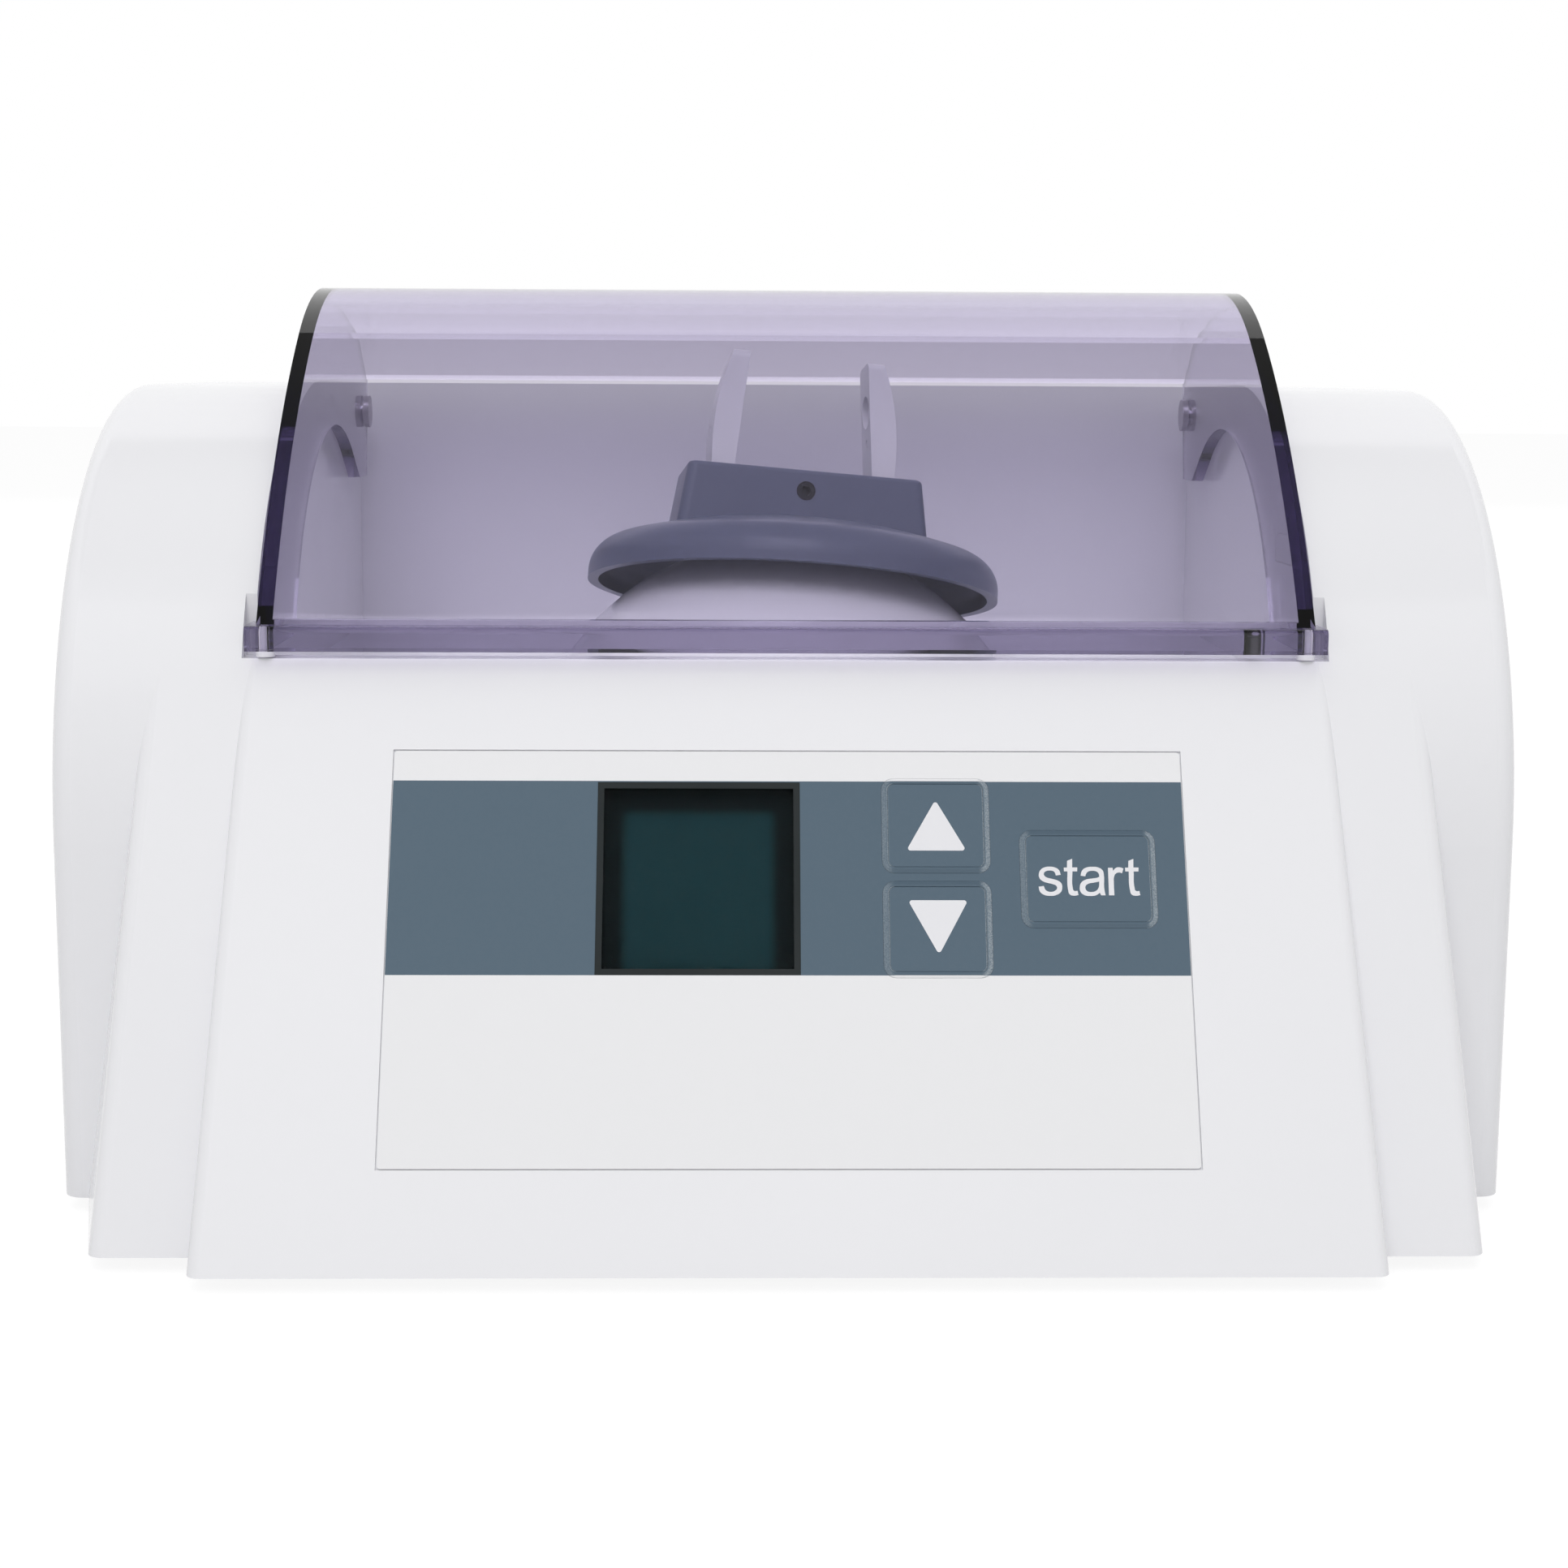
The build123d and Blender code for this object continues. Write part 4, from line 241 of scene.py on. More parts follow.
def bump(nodes, links, shader, height, depth, strength=1.0):
    """Raises the surface by a height pattern, up to depth metres."""
    raised = nodes.new("ShaderNodeBump")
    raised.inputs["Strength"].default_value = strength
    raised.inputs["Distance"].default_value = depth
    links.new(height, raised.inputs["Height"])
    if shader.inputs["Normal"].is_linked:
        links.new(shader.inputs["Normal"].links[0].from_socket, raised.inputs["Normal"])
    links.new(raised.outputs["Normal"], shader.inputs["Normal"])


def mottled(nodes, links, shader, colour, amount, size):
    """Lets the colour drift a little over the surface."""
    darker = [c * (1.0 - amount) for c in colour]
    lighter = [min(1.0, c * (1.0 + amount)) for c in colour]
    links.new(blended(nodes, links, noise(nodes, links, size), darker, lighter), shader.inputs["Base Color"])


def moulded_plastic(name, colour, roughness, grain=0.4 * MM, depth=0.004 * MM, drift=0.012, coat=0.0):
    """Injection-moulded plastic: a faint flow in the gloss, a fine grain and a slight drift of colour."""
    material, nodes, links, shader = new_finish(name, colour, roughness)
    shader.inputs["Coat Weight"].default_value = coat
    shader.inputs["Coat Roughness"].default_value = 0.04
    mottled(nodes, links, shader, colour, amount=drift, size=60 * MM)
    flow = spread(nodes, links, noise(nodes, links, size=18 * MM), low=roughness * 0.88, high=roughness * 1.12)
    links.new(flow, shader.inputs["Roughness"])
    bump(nodes, links, shader, noise(nodes, links, size=30 * MM, detail=1.0), depth=0.05 * MM, strength=0.25)
    bump(nodes, links, shader, noise(nodes, links, size=grain), depth=depth)
    return material


def matte_rubber(name, colour):
    """Soft rubber with a fine open grain and dusty patches."""
    material, nodes, links, shader = new_finish(name, colour, roughness=0.8)
    mottled(nodes, links, shader, colour, amount=0.25, size=4 * MM)
    dust = noise(nodes, links, size=2 * MM)
    links.new(spread(nodes, links, dust, low=0.7, high=0.92), shader.inputs["Roughness"])
    bump(nodes, links, shader, noise(nodes, links, size=0.25 * MM), depth=0.03 * MM, strength=0.6)
    return material


def turned_metal(name, colour, roughness, stretch=(1.0, 1.0, 1.0)):
    """Turned, ground or plated metal, with fine tool lines along one direction."""
    material, nodes, links, shader = new_finish(name, colour, roughness, metallic=1.0)
    mottled(nodes, links, shader, colour, amount=0.08, size=8 * MM)
    lines = noise(nodes, links, size=0.5 * MM, detail=2.0, stretch=stretch)
    gloss = spread(nodes, links, lines, low=roughness * 0.75, high=roughness * 1.3)
    links.new(gloss, shader.inputs["Roughness"])
    bump(nodes, links, shader, lines, depth=0.01 * MM, strength=0.5)
    return material


def cast_metal(name, colour):
    """Die-cast aluminium: satin and lightly pebbled."""
    material, nodes, links, shader = new_finish(name, colour, roughness=0.45, metallic=1.0)
    mottled(nodes, links, shader, colour, amount=0.15, size=5 * MM)
    satin = noise(nodes, links, size=1.5 * MM)
    links.new(spread(nodes, links, satin, low=0.36, high=0.58), shader.inputs["Roughness"])
    bump(nodes, links, shader, noise(nodes, links, size=0.8 * MM), depth=0.05 * MM, strength=0.6)
    return material


def height_up_slope(nodes, links):
    """How far up the panel's slope a point lies, in metres."""
    shifted = nodes.new("ShaderNodeVectorMath")
    shifted.operation = "SUBTRACT"
    shifted.inputs[1].default_value = PANEL_FOOT
    links.new(object_space(nodes), shifted.inputs[0])
    along = nodes.new("ShaderNodeVectorMath")
    along.operation = "DOT_PRODUCT"
    along.inputs[1].default_value = UP_SLOPE
    links.new(shifted.outputs["Vector"], along.inputs[0])
    return along.outputs["Value"]


def facing_sideways(nodes, links, profile):
    """How far a surface faces left or right, through a curve from -X (0) over flat (0.5) to +X (1)."""
    facing = nodes.new("ShaderNodeSeparateXYZ")
    links.new(nodes.new("ShaderNodeNewGeometry").outputs["Normal"], facing.inputs["Vector"])
    shaped = nodes.new("ShaderNodeFloatCurve")
    points = shaped.mapping.curves[0].points
    points[0].location, points[1].location = profile[0], profile[-1]
    for place in profile[1:-1]:
        points.new(*place)
    shaped.mapping.update()
    links.new(ranged(nodes, links, facing.outputs["X"], start=-1.0, end=1.0), shaped.inputs["Value"])
    return shaped.outputs["Value"]


def printed_film(name, ground, band, painted_side_highlight, foot, top):
    """Matte polyester film: a slate band printed across a white ground, with a painted highlight in pale specks
    on the keys' side flanks, stronger on the right.
    """
    material, nodes, links, shader = new_finish(name, ground, roughness=0.42)
    height = height_up_slope(nodes, links)
    above_foot = calculated(nodes, links, "GREATER_THAN", height, foot)
    below_top = calculated(nodes, links, "LESS_THAN", height, top)
    inside = calculated(nodes, links, "MULTIPLY", above_foot, below_top)
    printed = blended(nodes, links, inside, ground, band)
    # Painted highlight: the pale colour is mixed in, in noise specks, where a face turns sideways, more on
    # right flanks than left.
    highlight_speckle = spread(nodes, links, noise(nodes, links, size=0.22 * MM, detail=4.0), low=0.1, high=0.9)
    specks = calculated(nodes, links, "MULTIPLY", facing_sideways(nodes, links, PAINTED_HIGHLIGHT_SIDES), highlight_speckle)
    links.new(blended(nodes, links, specks, printed, painted_side_highlight), shader.inputs["Base Color"])
    matt = noise(nodes, links, size=0.6 * MM)
    links.new(spread(nodes, links, matt, low=0.36, high=0.5), shader.inputs["Roughness"])
    bump(nodes, links, shader, noise(nodes, links, size=0.35 * MM), depth=0.012 * MM, strength=0.7)
    return material


def clear_tinted(name, tint):
    """Polished see-through plastic that takes its tint from its thickness and lets lamp light in."""
    material, nodes, links, shader = new_finish(name, (1.0, 1.0, 1.0), roughness=0.015, ior=1.49)
    shader.inputs["Transmission Weight"].default_value = 1.0
    absorption = nodes.new("ShaderNodeVolumeAbsorption")
    darkest = min(tint)
    absorption.inputs["Density"].default_value = -math.log(darkest) / COVER_DEPTH
    absorption.inputs["Color"].default_value = (*[1.0 - math.log(t) / math.log(darkest) for t in tint], 1.0)
    links.new(absorption.outputs["Volume"], nodes["Material Output"].inputs["Volume"])
    bump(nodes, links, shader, noise(nodes, links, size=40 * MM, detail=0.0), depth=0.03 * MM, strength=0.2)
    shadow = nodes.new("ShaderNodeLightPath").outputs["Is Shadow Ray"]
    unseen = nodes.new("ShaderNodeBsdfTransparent").outputs["BSDF"]
    surface = nodes["Material Output"].inputs["Surface"]
    mixed_shaders(nodes, links, shadow, shader.outputs["BSDF"], unseen, surface)
    return material


def dark_glass(name, colour, roughness, transmission, ior=1.5):
    """Display glass: deep colour under a hard gloss, or a low one where it is coated against glare."""
    material, nodes, links, shader = new_finish(name, colour, roughness, ior=ior)
    shader.inputs["Transmission Weight"].default_value = transmission
    mottled(nodes, links, shader, colour, amount=0.06, size=12 * MM)
    bump(nodes, links, shader, noise(nodes, links, size=15 * MM, detail=0.0), depth=0.01 * MM, strength=0.2)
    return material


def resting_display(name, colour, painted_shade_colour):
    """A resting liquid crystal display: a green-grey field that fades into painted near-black shade along its
    top and sides, where the recess shades it.
    """
    material, nodes, links, shader = new_finish(name, colour, roughness=0.35, ior=1.06)
    across = nodes.new("ShaderNodeSeparateXYZ")
    links.new(object_space(nodes), across.inputs["Vector"])
    # Painted shade: the field darkens to near black along the left, right and top edges only; the bottom edge
    # stays lit.
    sides = ((across.outputs["X"], DISPLAY_LOW[0], 1), (across.outputs["X"], DISPLAY_HIGH[0], -1),
             (height_up_slope(nodes, links), DISPLAY_HIGH[1], -1))
    field = 1.0
    for value, edge, inward in sides:
        inside = ranged(nodes, links, value, edge + inward * (DISPLAY_SHADE_WIDTH - DISPLAY_SHADE_FADE),
                        edge + inward * (DISPLAY_SHADE_WIDTH + DISPLAY_SHADE_FADE), interpolation="SMOOTHSTEP")
        field = calculated(nodes, links, "MULTIPLY", field, inside)
    links.new(blended(nodes, links, field, painted_shade_colour, colour), shader.inputs["Base Color"])
    bump(nodes, links, shader, noise(nodes, links, size=0.3 * MM), depth=0.01 * MM, strength=0.4)
    return material


def dress(material, *names):
    """Gives CAD nodes their finish."""
    for name in names:
        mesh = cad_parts[name].data
        mesh.materials.clear()
        mesh.materials.append(material)


# ---------------------------------------------------------------- small pieces
def on_panel(u, v, out):
    """A point on the keypad panel: across, up the slope and outward, in metres."""
    return PANEL_FOOT + Vector((u, 0.0, 0.0)) + UP_SLOPE * v + OUTWARD * out


def rounded_outline(corners, radius, steps=6):
    """A polygon with each corner turned into an arc."""
    outline = []
    count = len(corners)
    for i, corner in enumerate(corners):
        here = Vector(corner)
        back = (Vector(corners[i - 1]) - here).normalized()
        ahead = (Vector(corners[(i + 1) % count]) - here).normalized()
        half = back.angle(ahead) / 2
        reach = radius / math.tan(half)
        centre = here + (back + ahead).normalized() * (radius / math.sin(half))
        start, end = here + back * reach - centre, here + ahead * reach - centre
        turn = start.angle_signed(end)
        for step in range(steps + 1):
            angle = -turn * step / steps
            spin = Matrix.Rotation(angle, 2)
            outline.append(centre + spin @ start)
    return outline


def added(name, data):
    """An object made from a mesh, a curve, a lamp or a camera, in the scene."""
    piece = bpy.data.objects.new(name, data)
    bpy.context.scene.collection.objects.link(piece)
    return piece


def closed_piece(name, shape):
    """An object from a finished shape, with its faces turned outward."""
    bmesh.ops.recalc_face_normals(shape, faces=shape.faces)
    mesh = bpy.data.meshes.new(name)
    shape.to_mesh(mesh)
    shape.free()
    return added(name, mesh)


def join_rings(shape, rings, smooth=False):
    """Closes a band of faces through rings of points, and from the last ring back to the first."""
    for inner, outer in zip(rings, rings[1:] + rings[:1]):
        for i, vert in enumerate(inner):
            ahead = (i + 1) % len(inner)
            face = shape.faces.new((vert, inner[ahead], outer[ahead], outer[i]))
            face.smooth = smooth and outer is not rings[0]


def printed_plate(name, outline, out, depth):
    """A thin raised print on the panel, from an outline in panel coordinates."""
    shape = bmesh.new()
    face = shape.faces.new([shape.verts.new(on_panel(x, y, out)) for x, y in outline])
    raised = bmesh.ops.extrude_face_region(shape, geom=[face])
    for vert in [part for part in raised["geom"] if isinstance(part, bmesh.types.BMVert)]:
        vert.co += OUTWARD * depth
    return closed_piece(name, shape)


def printed_frame(name, low, high, width, out, depth):
    """A thin raised print round a rectangle on the panel."""
    shape = bmesh.new()
    rings = []
    for inset, rise in ((0.0, 0.0), (0.0, depth), (width, depth), (width, 0.0)):
        x0, y0, x1, y1 = low[0] + inset, low[1] + inset, high[0] - inset, high[1] - inset
        corners = ((x0, y0), (x1, y0), (x1, y1), (x0, y1))
        rings.append([shape.verts.new(on_panel(x, y, out + rise)) for x, y in corners])
    join_rings(shape, rings)
    return closed_piece(name, shape)


# The start key's word. Each outline is drawn on a fine grid, as points across, down and 1 where the point is a
# corner, and word_outlines() works out the millimetres.
LETTER_S = (
    (465, 562, 1), (444, 512, 0), (402, 487, 0), (350, 480, 0), (298, 487, 0), (258, 513, 0), (242, 555, 0),
    (250, 596, 0), (283, 626, 0), (330, 643, 0), (385, 656, 0), (420, 672, 0), (431, 695, 0), (412, 722, 0),
    (360, 734, 0), (318, 718, 0), (295, 675, 1), (243, 682, 1), (258, 732, 0), (300, 764, 0), (360, 774, 0),
    (425, 766, 0), (470, 736, 0), (483, 690, 0), (474, 650, 0), (440, 622, 0), (382, 604, 0), (322, 588, 0),
    (298, 570, 0), (293, 548, 0), (308, 529, 0), (350, 519, 0), (396, 530, 0), (416, 569, 1),
)
LETTER_T = (
    (527, 420, 1), (578, 399, 1), (580, 487, 1), (632, 487, 1), (632, 527, 1), (583, 527, 1), (590, 690, 0),
    (603, 722, 0), (640, 724, 1), (650, 766, 1), (604, 772, 0), (562, 760, 0), (543, 712, 0), (532, 527, 1),
    (497, 527, 1), (494, 489, 1), (527, 488, 1),
)
LETTER_A = (
    (667, 571, 1), (682, 518, 0), (722, 489, 0), (785, 480, 0), (848, 488, 0), (890, 515, 0), (905, 570, 0),
    (911, 700, 0), (926, 768, 1), (880, 768, 1), (866, 742, 1), (836, 765, 0), (770, 775, 0), (706, 764, 0),
    (670, 732, 0), (662, 685, 0), (676, 640, 0), (722, 610, 0), (790, 598, 0), (832, 592, 0), (858, 582, 1),
    (850, 547, 0), (828, 528, 0), (785, 521, 0), (744, 529, 0), (724, 550, 0), (716, 577, 1),
)
HOLE_IN_A = (
    (859, 630, 1), (800, 641, 0), (750, 651, 0), (723, 672, 0), (720, 700, 0), (738, 726, 0), (780, 735, 0),
    (826, 724, 0), (852, 694, 0),
)
LETTER_R = (
    (945, 490, 1), (992, 490, 1), (998, 521, 1), (1026, 491, 0), (1062, 485, 0), (1103, 497, 1),
    (1090, 545, 1), (1058, 538, 0), (1026, 549, 0), (1009, 584, 0), (1008, 640, 0), (1015, 768, 1),
    (960, 768, 1),
)
SECOND_T_OVER = 625    # the second t's distance from the first, in grid units
SECOND_T_FOOT = 4    # and how much further over its foot stands
FOOT_BEGINS = 600
WORD_LEFT, WORD_RIGHT = 245.4, 1280.0    # the word's ends on the grid
ROUND_TOP, BASE_LINE = 483.0, 770.0    # the round letters' top and the line that the letters stand on
LETTER_LEAN = 0.06    # across for each unit up
WORD_WIDTH = 18.3    # mm
ROUND_HEIGHT = 5.32    # mm, from the base line to the round letters' top


def word_outlines():
    """The word's outlines in millimetres from its left foot: across, up and whether the point is a corner."""
    second_t = [(x + SECOND_T_OVER + (SECOND_T_FOOT if y > FOOT_BEGINS else 0), y, corner)
                for x, y, corner in LETTER_T]
    wide = WORD_WIDTH / (WORD_RIGHT - WORD_LEFT)
    high = ROUND_HEIGHT / (BASE_LINE - ROUND_TOP)
    for outline in (LETTER_S, LETTER_T, LETTER_A, HOLE_IN_A, LETTER_R, second_t):
        yield [((x + (BASE_LINE - y) * LETTER_LEAN - WORD_LEFT) * wide, (BASE_LINE - y) * high, corner)
               for x, y, corner in outline]


def key_word(name, left, foot, out, depth):
    """The printed word, from its letters' outlines."""
    curve = bpy.data.curves.new(name, "CURVE")
    curve.dimensions = "2D"
    curve.fill_mode = "BOTH"
    half_deep = 0.5    # the letters are drawn one unit deep, then brought down to the print's depth
    curve.extrude = half_deep
    for loop in word_outlines():
        spline = curve.splines.new("BEZIER")
        spline.bezier_points.add(len(loop) - 1)
        spline.use_cyclic_u = True
        for point, (across, up, corner) in zip(spline.bezier_points, loop):
            point.co = (across, up, 0.0)
            kind = "VECTOR" if corner else "AUTO"
            point.handle_left_type, point.handle_right_type = kind, kind
    drawn = added(name, curve)
    bpy.context.view_layer.update()
    mesh = bpy.data.meshes.new_from_object(drawn.evaluated_get(bpy.context.evaluated_depsgraph_get()))
    bpy.data.objects.remove(drawn)
    for vert in mesh.vertices:
        x, y, z = vert.co
        vert.co = on_panel(left + x * MM, foot + y * MM, out + (z + half_deep) * depth)
    mesh.name = name
    return added(name, mesh)


def key_ridge(name, middle, size, width, height):
    """A soft ridge pressed up in the film round a key, from the key's outline outward."""
    shape = bmesh.new()
    rings = []
    for share, rise in RIDGE_SECTION:
        reach = share * width
        x, y = size[0] / 2 + reach, size[1] / 2 + reach
        corners = [(middle[0] + x, middle[1] + y), (middle[0] - x, middle[1] + y),
                   (middle[0] - x, middle[1] - y), (middle[0] + x, middle[1] - y)]
        outline = rounded_outline(corners, KEY_CORNER + reach)
        rings.append([shape.verts.new(on_panel(u, v, rise * height)) for u, v in outline])
    join_rings(shape, rings, smooth=True)
    return closed_piece(name, shape)


# ---------------------------------------------------------------- operators
class AMALGAMATOR_OT_housing(bpy.types.Operator):
    """Finish the housing, the base plate, the feet and their screws"""
    bl_idname = "amalgamator.housing"
    bl_label = "Housing and feet"

    def execute(self, context):
        colours = context.scene.amalgamator_colours
        dress(moulded_plastic("gloss_white", colours.shell, roughness=0.17, coat=0.15), "upper_housing")
        dress(moulded_plastic("matte_grey", colours.base, roughness=0.5, grain=0.3 * MM, depth=0.02 * MM),
              "base_plate")
        dress(matte_rubber("soft_rubber", colours.rubber), "feet", "rubber_mounts")
        dress(turned_metal("plated_steel", (0.60, 0.61, 0.63), roughness=0.28), "housing_screws",
              "board_screws", "frame_bolts", "motor_screws", "standoff_screws", "prong_pins", "prong_springs")
        return {"FINISHED"}


class AMALGAMATOR_OT_keypad(bpy.types.Operator):
    """Finish the keypad film, the keys and the display, and print the marks on the keys"""
    bl_idname = "amalgamator.keypad"
    bl_label = "Keypad and display"

    def execute(self, context):
        colours, sizes = context.scene.amalgamator_colours, context.scene.amalgamator_sizes
        film = printed_film("keypad_film", colours.film, colours.band, colours.painted_side_highlight, sizes.band_foot,
                            sizes.band_top)
        dress(film, "keypad_foil", "up_key", "down_key", "start_key")
        dress(dark_glass("window_glass", (0.90, 0.93, 0.93), roughness=0.03, transmission=1.0, ior=1.06),
              "display_window")
        # The near-black colour here is painted shade on the display's top and sides.
        dress(resting_display("resting_display", colours.glass, painted_shade_colour=(0.003, 0.006, 0.007)), "lcd_glass")
        border = printed_frame("window_border", DISPLAY_LOW, DISPLAY_HIGH, BORDER_WIDTH,
                               WINDOW_FACE + PRINT_GAP, sizes.mark_depth)
        border.data.materials.append(moulded_plastic("border_print", (0.006, 0.010, 0.011), roughness=0.6))
        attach(border, "frame")
        marks = moulded_plastic("white_print", colours.marks, roughness=0.5)
        out = sizes.key_rise + PRINT_GAP
        for name, corners in ARROWS.items():
            outline = rounded_outline([(x * MM, y * MM) for x, y in corners], sizes.mark_corner)
            arrow = printed_plate(f"{name}_arrow", outline, out, sizes.mark_depth)
            arrow.data.materials.append(marks)
            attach(arrow, f"{name}_key")
        word = key_word("start_word", sizes.word_left, sizes.word_foot, out, sizes.mark_depth)
        word.data.materials.append(marks)
        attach(word, "start_key")
        for name, (middle, size) in KEYS.items():
            ridge = key_ridge(f"{name}_ridge", [c * MM for c in middle], [c * MM for c in size],
                              sizes.ridge_width, sizes.ridge_height)
            ridge.data.materials.append(film)
            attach(ridge, "frame")
        return {"FINISHED"}


class AMALGAMATOR_OT_cover(bpy.types.Operator):
    """Finish the tinted cover, its magnet and the cover switch"""
    bl_idname = "amalgamator.cover"
    bl_label = "Cover"

    def execute(self, context):
        colours = context.scene.amalgamator_colours
        dress(clear_tinted("tinted_clear", colours.tint), "cover")
        dress(turned_metal("dull_pin_steel", (0.50, 0.48, 0.53), roughness=0.45), "hinge_pins")
        dress(cast_metal("sintered_magnet", (0.08, 0.08, 0.085)), "cover_magnet", "motor_magnets")
        dress(moulded_plastic("switch_white", colours.prongs, roughness=0.35), "interlock_sensor",
              "cover_bumpers")
        return {"FINISHED"}


class AMALGAMATOR_OT_fork(bpy.types.Operator):
    """Finish the capsule holder, its prongs and the rocking fork below it"""
    bl_idname = "amalgamator.fork"
    bl_label = "Capsule holder and fork"

    def execute(self, context):
        colours = context.scene.amalgamator_colours
        dress(moulded_plastic("slate_plastic", colours.cap, roughness=0.32, grain=0.3 * MM, depth=0.008 * MM),
              "capsule_cap")
        dress(moulded_plastic("prong_white", colours.prongs, roughness=0.35), "left_prong", "right_prong")
        dress(turned_metal("black_screw", (0.05, 0.05, 0.055), roughness=0.35), "cap_screw")
        dress(cast_metal("cast_aluminium", (0.58, 0.59, 0.60)), "rocker_arm", "drive_frame")
        dress(turned_metal("sintered_bronze", (0.52, 0.33, 0.15), roughness=0.4), "rocker_bushing",
              "shaft_bushings")
        dress(moulded_plastic("guide_nylon", (0.72, 0.70, 0.62), roughness=0.45), "guide_block")
        return {"FINISHED"}


class AMALGAMATOR_OT_motor(bpy.types.Operator):
    """Finish the motor, its shaft and the skewed hub"""
    bl_idname = "amalgamator.motor"
    bl_label = "Motor and hub"

    def execute(self, context):
        dress(turned_metal("zinc_can", (0.50, 0.51, 0.52), roughness=0.34, stretch=(0.1, 1.0, 1.0)),
              "motor_can", "transformer")
        dress(turned_metal("ground_steel", (0.48, 0.49, 0.51), roughness=0.22, stretch=(1.0, 0.1, 0.1)),
              "motor_shaft", "skew_hub", "hub_retainer", "balance_weights", "inlet_pins")
        dress(turned_metal("wound_copper", (0.55, 0.24, 0.10), roughness=0.35, stretch=(0.2, 1.0, 1.0)),
              "armature", "commutator", "transformer_coil")
        dress(moulded_plastic("carbon", (0.03, 0.03, 0.03), roughness=0.5), "brushes")
        return {"FINISHED"}


class AMALGAMATOR_OT_electrics(bpy.types.Operator):
    """Finish the boards, the mains inlet with its drawer, the power switch and the wires"""
    bl_idname = "amalgamator.electrics"
    bl_label = "Electrics"

    def execute(self, context):
        board = moulded_plastic("solder_mask", (0.02, 0.12, 0.05), roughness=0.28, grain=0.5 * MM,
                                depth=0.02 * MM, drift=0.15)
        dress(board, "control_board", "power_board", "terminal_block")
        black = moulded_plastic("black_plastic", (0.018, 0.018, 0.020), roughness=0.38, grain=0.25 * MM,
                                depth=0.015 * MM)
        dress(black, "power_inlet", "fuse_drawer", "switch_body", "power_rocker", "display_module",
              "key_switches", "motor_end_cap", "brush_holder", "capacitors")
        dress(turned_metal("black_anodised", (0.04, 0.04, 0.045), roughness=0.4), "heatsink")
        dress(dark_glass("fuse_glass", (0.85, 0.88, 0.88), roughness=0.05, transmission=0.8), "fuses")
        dress(moulded_plastic("red_insulation", (0.40, 0.02, 0.015), roughness=0.4), "motor_leads")
        dress(moulded_plastic("grey_insulation", (0.30, 0.30, 0.31), roughness=0.4), "mains_leads",
              "ribbon_cable")
        return {"FINISHED"}


# ---------------------------------------------------------------- studio
def background_seen(nodes, links):
    """1 for what is seen directly, in a reflection or through clear plastic."""
    path = nodes.new("ShaderNodeLightPath")
    total = path.outputs["Is Camera Ray"]
    for ray in ("Is Glossy Ray", "Is Transmission Ray"):
        total = calculated(nodes, links, "MAXIMUM", total, path.outputs[ray])
    return total


def mixed_world(scene, strength):
    """Even studio light, and plain white wherever the backdrop itself is seen, under a dim ceiling."""
    world = bpy.data.worlds.new("studio")
    scene.world = world
    world.use_nodes = True
    nodes, links = world.node_tree.nodes, world.node_tree.links
    nodes.clear()
    room, backdrop = nodes.new("ShaderNodeBackground"), nodes.new("ShaderNodeBackground")
    room.inputs["Strength"].default_value = strength
    backdrop.inputs["Color"].default_value = (1.0, 1.0, 1.0, 1.0)
    direction = nodes.new("ShaderNodeSeparateXYZ")
    links.new(nodes.new("ShaderNodeTexCoord").outputs["Generated"], direction.inputs["Vector"])
    ceiling = ranged(nodes, links, direction.outputs["Z"], *CEILING_HEIGHTS, high=CEILING_DARKNESS)
    mirrored = nodes.new("ShaderNodeLightPath").outputs["Is Glossy Ray"]
    dimmed = calculated(nodes, links, "MULTIPLY", mirrored, ceiling)
    links.new(calculated(nodes, links, "SUBTRACT", 1.0, dimmed), backdrop.inputs["Strength"])
    mixed_shaders(nodes, links, background_seen(nodes, links), room.outputs["Background"],
                  backdrop.outputs["Background"], nodes.new("ShaderNodeOutputWorld").inputs["Surface"])


def white_floor():
    """A pale floor that reads as white and keeps a faint shadow."""
    material, nodes, links, shader = new_finish("pale_floor", FLOOR_COLOUR, roughness=0.9)
    shine = nodes.new("ShaderNodeEmission")
    shine.inputs["Color"].default_value = (1.0, 1.0, 1.0, 1.0)
    shine.inputs["Strength"].default_value = FLOOR_SHINE
    share = calculated(nodes, links, "MULTIPLY", background_seen(nodes, links), FLOOR_SHARE)
    mixed_shaders(nodes, links, share, shader.outputs["BSDF"], shine.outputs["Emission"],
                  nodes["Material Output"].inputs["Surface"])
    mesh = bpy.data.meshes.new("floor")
    corners = [(x * FLOOR_REACH, y * FLOOR_REACH, 0) for x, y in ((-1, -1), (1, -1), (1, 1), (-1, 1))]
    mesh.from_pydata(corners, [], [(0, 1, 2, 3)])
    floor = added("floor", mesh)
    floor.data.materials.append(material)


def soft_lamp(name, place, target, size, power):
    """A large softbox that looks at a point and isn't mirrored in glossy faces."""
    light = bpy.data.lights.new(name, "AREA")
    light.shape = "RECTANGLE"
    light.size, light.size_y = size
    light.energy = power
    lamp = added(name, light)
    lamp.location = place
    lamp.rotation_euler = (Vector(target) - Vector(place)).to_track_quat("-Z", "Y").to_euler()
    lamp.visible_glossy = False


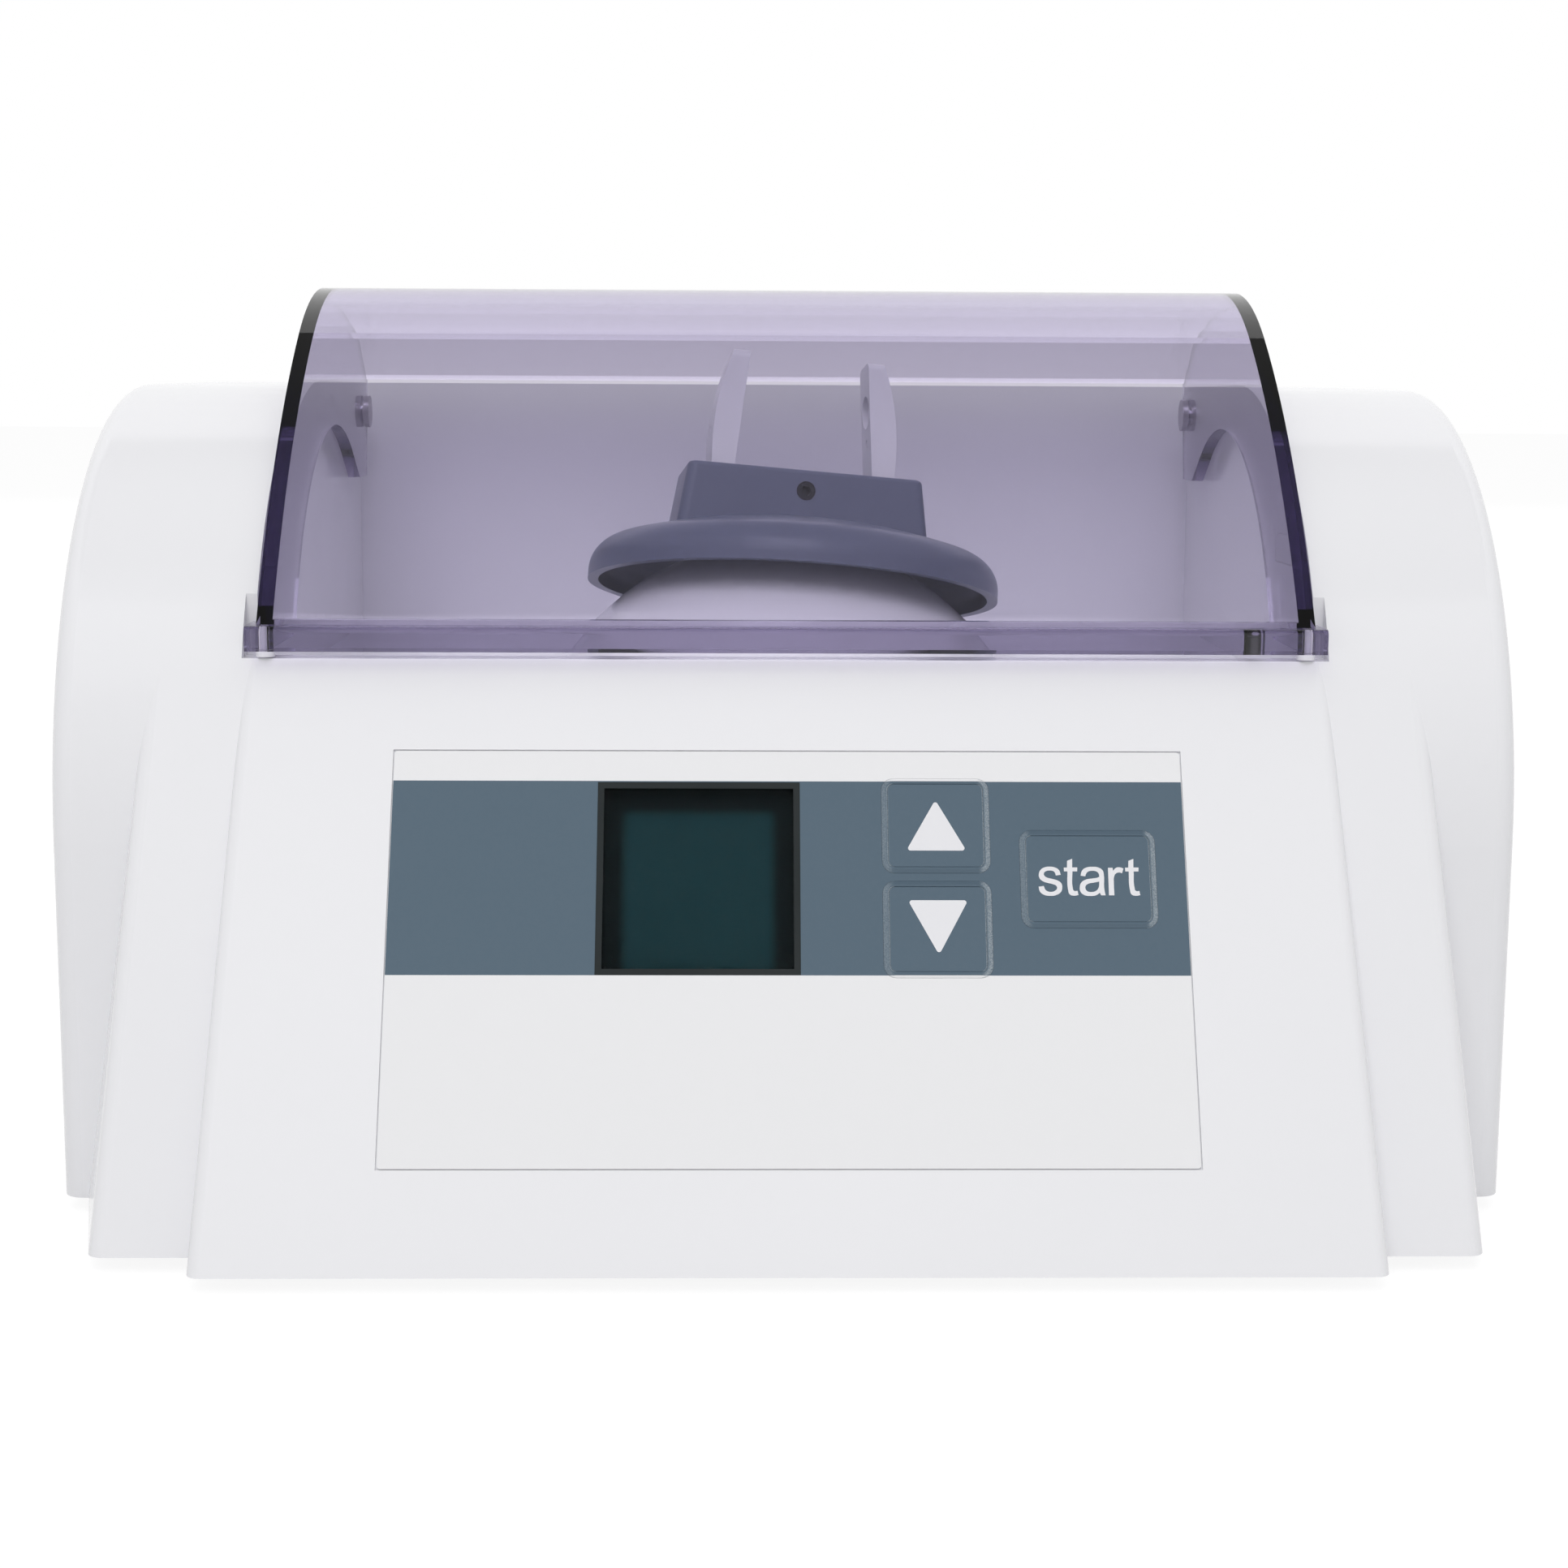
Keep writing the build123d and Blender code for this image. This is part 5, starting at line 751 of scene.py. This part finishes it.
def studio_camera(scene, stage):
    """The camera, turned, pitched and leaned as the stage says."""
    ahead = Vector((math.sin(stage.yaw) * math.cos(stage.pitch), math.cos(stage.yaw) * math.cos(stage.pitch),
                    -math.sin(stage.pitch)))
    level = Vector((math.cos(stage.yaw), -math.sin(stage.yaw), 0.0))
    above = level.cross(ahead)
    right = level * math.cos(stage.roll) + above * math.sin(stage.roll)
    up = above * math.cos(stage.roll) - level * math.sin(stage.roll)
    data = bpy.data.cameras.new("camera")
    data.sensor_width = SENSOR_WIDTH
    data.lens = stage.lens
    data.clip_start = NEAREST_SEEN
    camera = added("camera", data)
    turn = Matrix((right, up, -ahead)).transposed().to_4x4()
    camera.matrix_world = Matrix.Translation(stage.place) @ turn
    scene.camera = camera


class AMALGAMATOR_OT_stage(bpy.types.Operator):
    """Set the floor, the studio light and the camera"""
    bl_idname = "amalgamator.stage"
    bl_label = "Studio and camera"

    def execute(self, context):
        stage = context.scene.amalgamator_stage
        white_floor()
        mixed_world(context.scene, stage.world)
        for name, (place, target, size, power) in SOFTBOXES.items():
            soft_lamp(name, place, target, size, power)
        context.scene.view_settings.view_transform = "Standard"
        studio_camera(context.scene, stage)
        return {"FINISHED"}


OPERATORS = (
    AMALGAMATOR_OT_housing,
    AMALGAMATOR_OT_keypad,
    AMALGAMATOR_OT_cover,
    AMALGAMATOR_OT_fork,
    AMALGAMATOR_OT_motor,
    AMALGAMATOR_OT_electrics,
    AMALGAMATOR_OT_stage,
)


class AMALGAMATOR_PT_panel(bpy.types.Panel):
    """Lists the pieces, the colours and the sizes"""
    bl_idname = "AMALGAMATOR_PT_panel"
    bl_label = "Amalgamator"
    bl_space_type = "VIEW_3D"
    bl_region_type = "UI"
    bl_category = "Amalgamator"

    def draw(self, context):
        for operator in OPERATORS:
            self.layout.operator(operator.bl_idname)
        for group in (context.scene.amalgamator_colours, context.scene.amalgamator_sizes,
                      context.scene.amalgamator_stage):
            box = self.layout.box()
            for name in group.__annotations__:
                box.prop(group, name)


CLASSES = (AmalgamatorColours, AmalgamatorSizes, AmalgamatorStage, *OPERATORS, AMALGAMATOR_PT_panel)


def register():
    for item in CLASSES:
        bpy.utils.register_class(item)
    bpy.types.Scene.amalgamator_colours = PointerProperty(type=AmalgamatorColours)
    bpy.types.Scene.amalgamator_sizes = PointerProperty(type=AmalgamatorSizes)
    bpy.types.Scene.amalgamator_stage = PointerProperty(type=AmalgamatorStage)


def unregister():
    del bpy.types.Scene.amalgamator_stage
    del bpy.types.Scene.amalgamator_sizes
    del bpy.types.Scene.amalgamator_colours
    for item in reversed(CLASSES):
        bpy.utils.unregister_class(item)


def main():
    register()
    bpy.ops.amalgamator.housing()
    bpy.ops.amalgamator.keypad()
    bpy.ops.amalgamator.cover()
    bpy.ops.amalgamator.fork()
    bpy.ops.amalgamator.motor()
    bpy.ops.amalgamator.electrics()
    bpy.ops.amalgamator.stage()


if __name__ == "__main__":
    main()
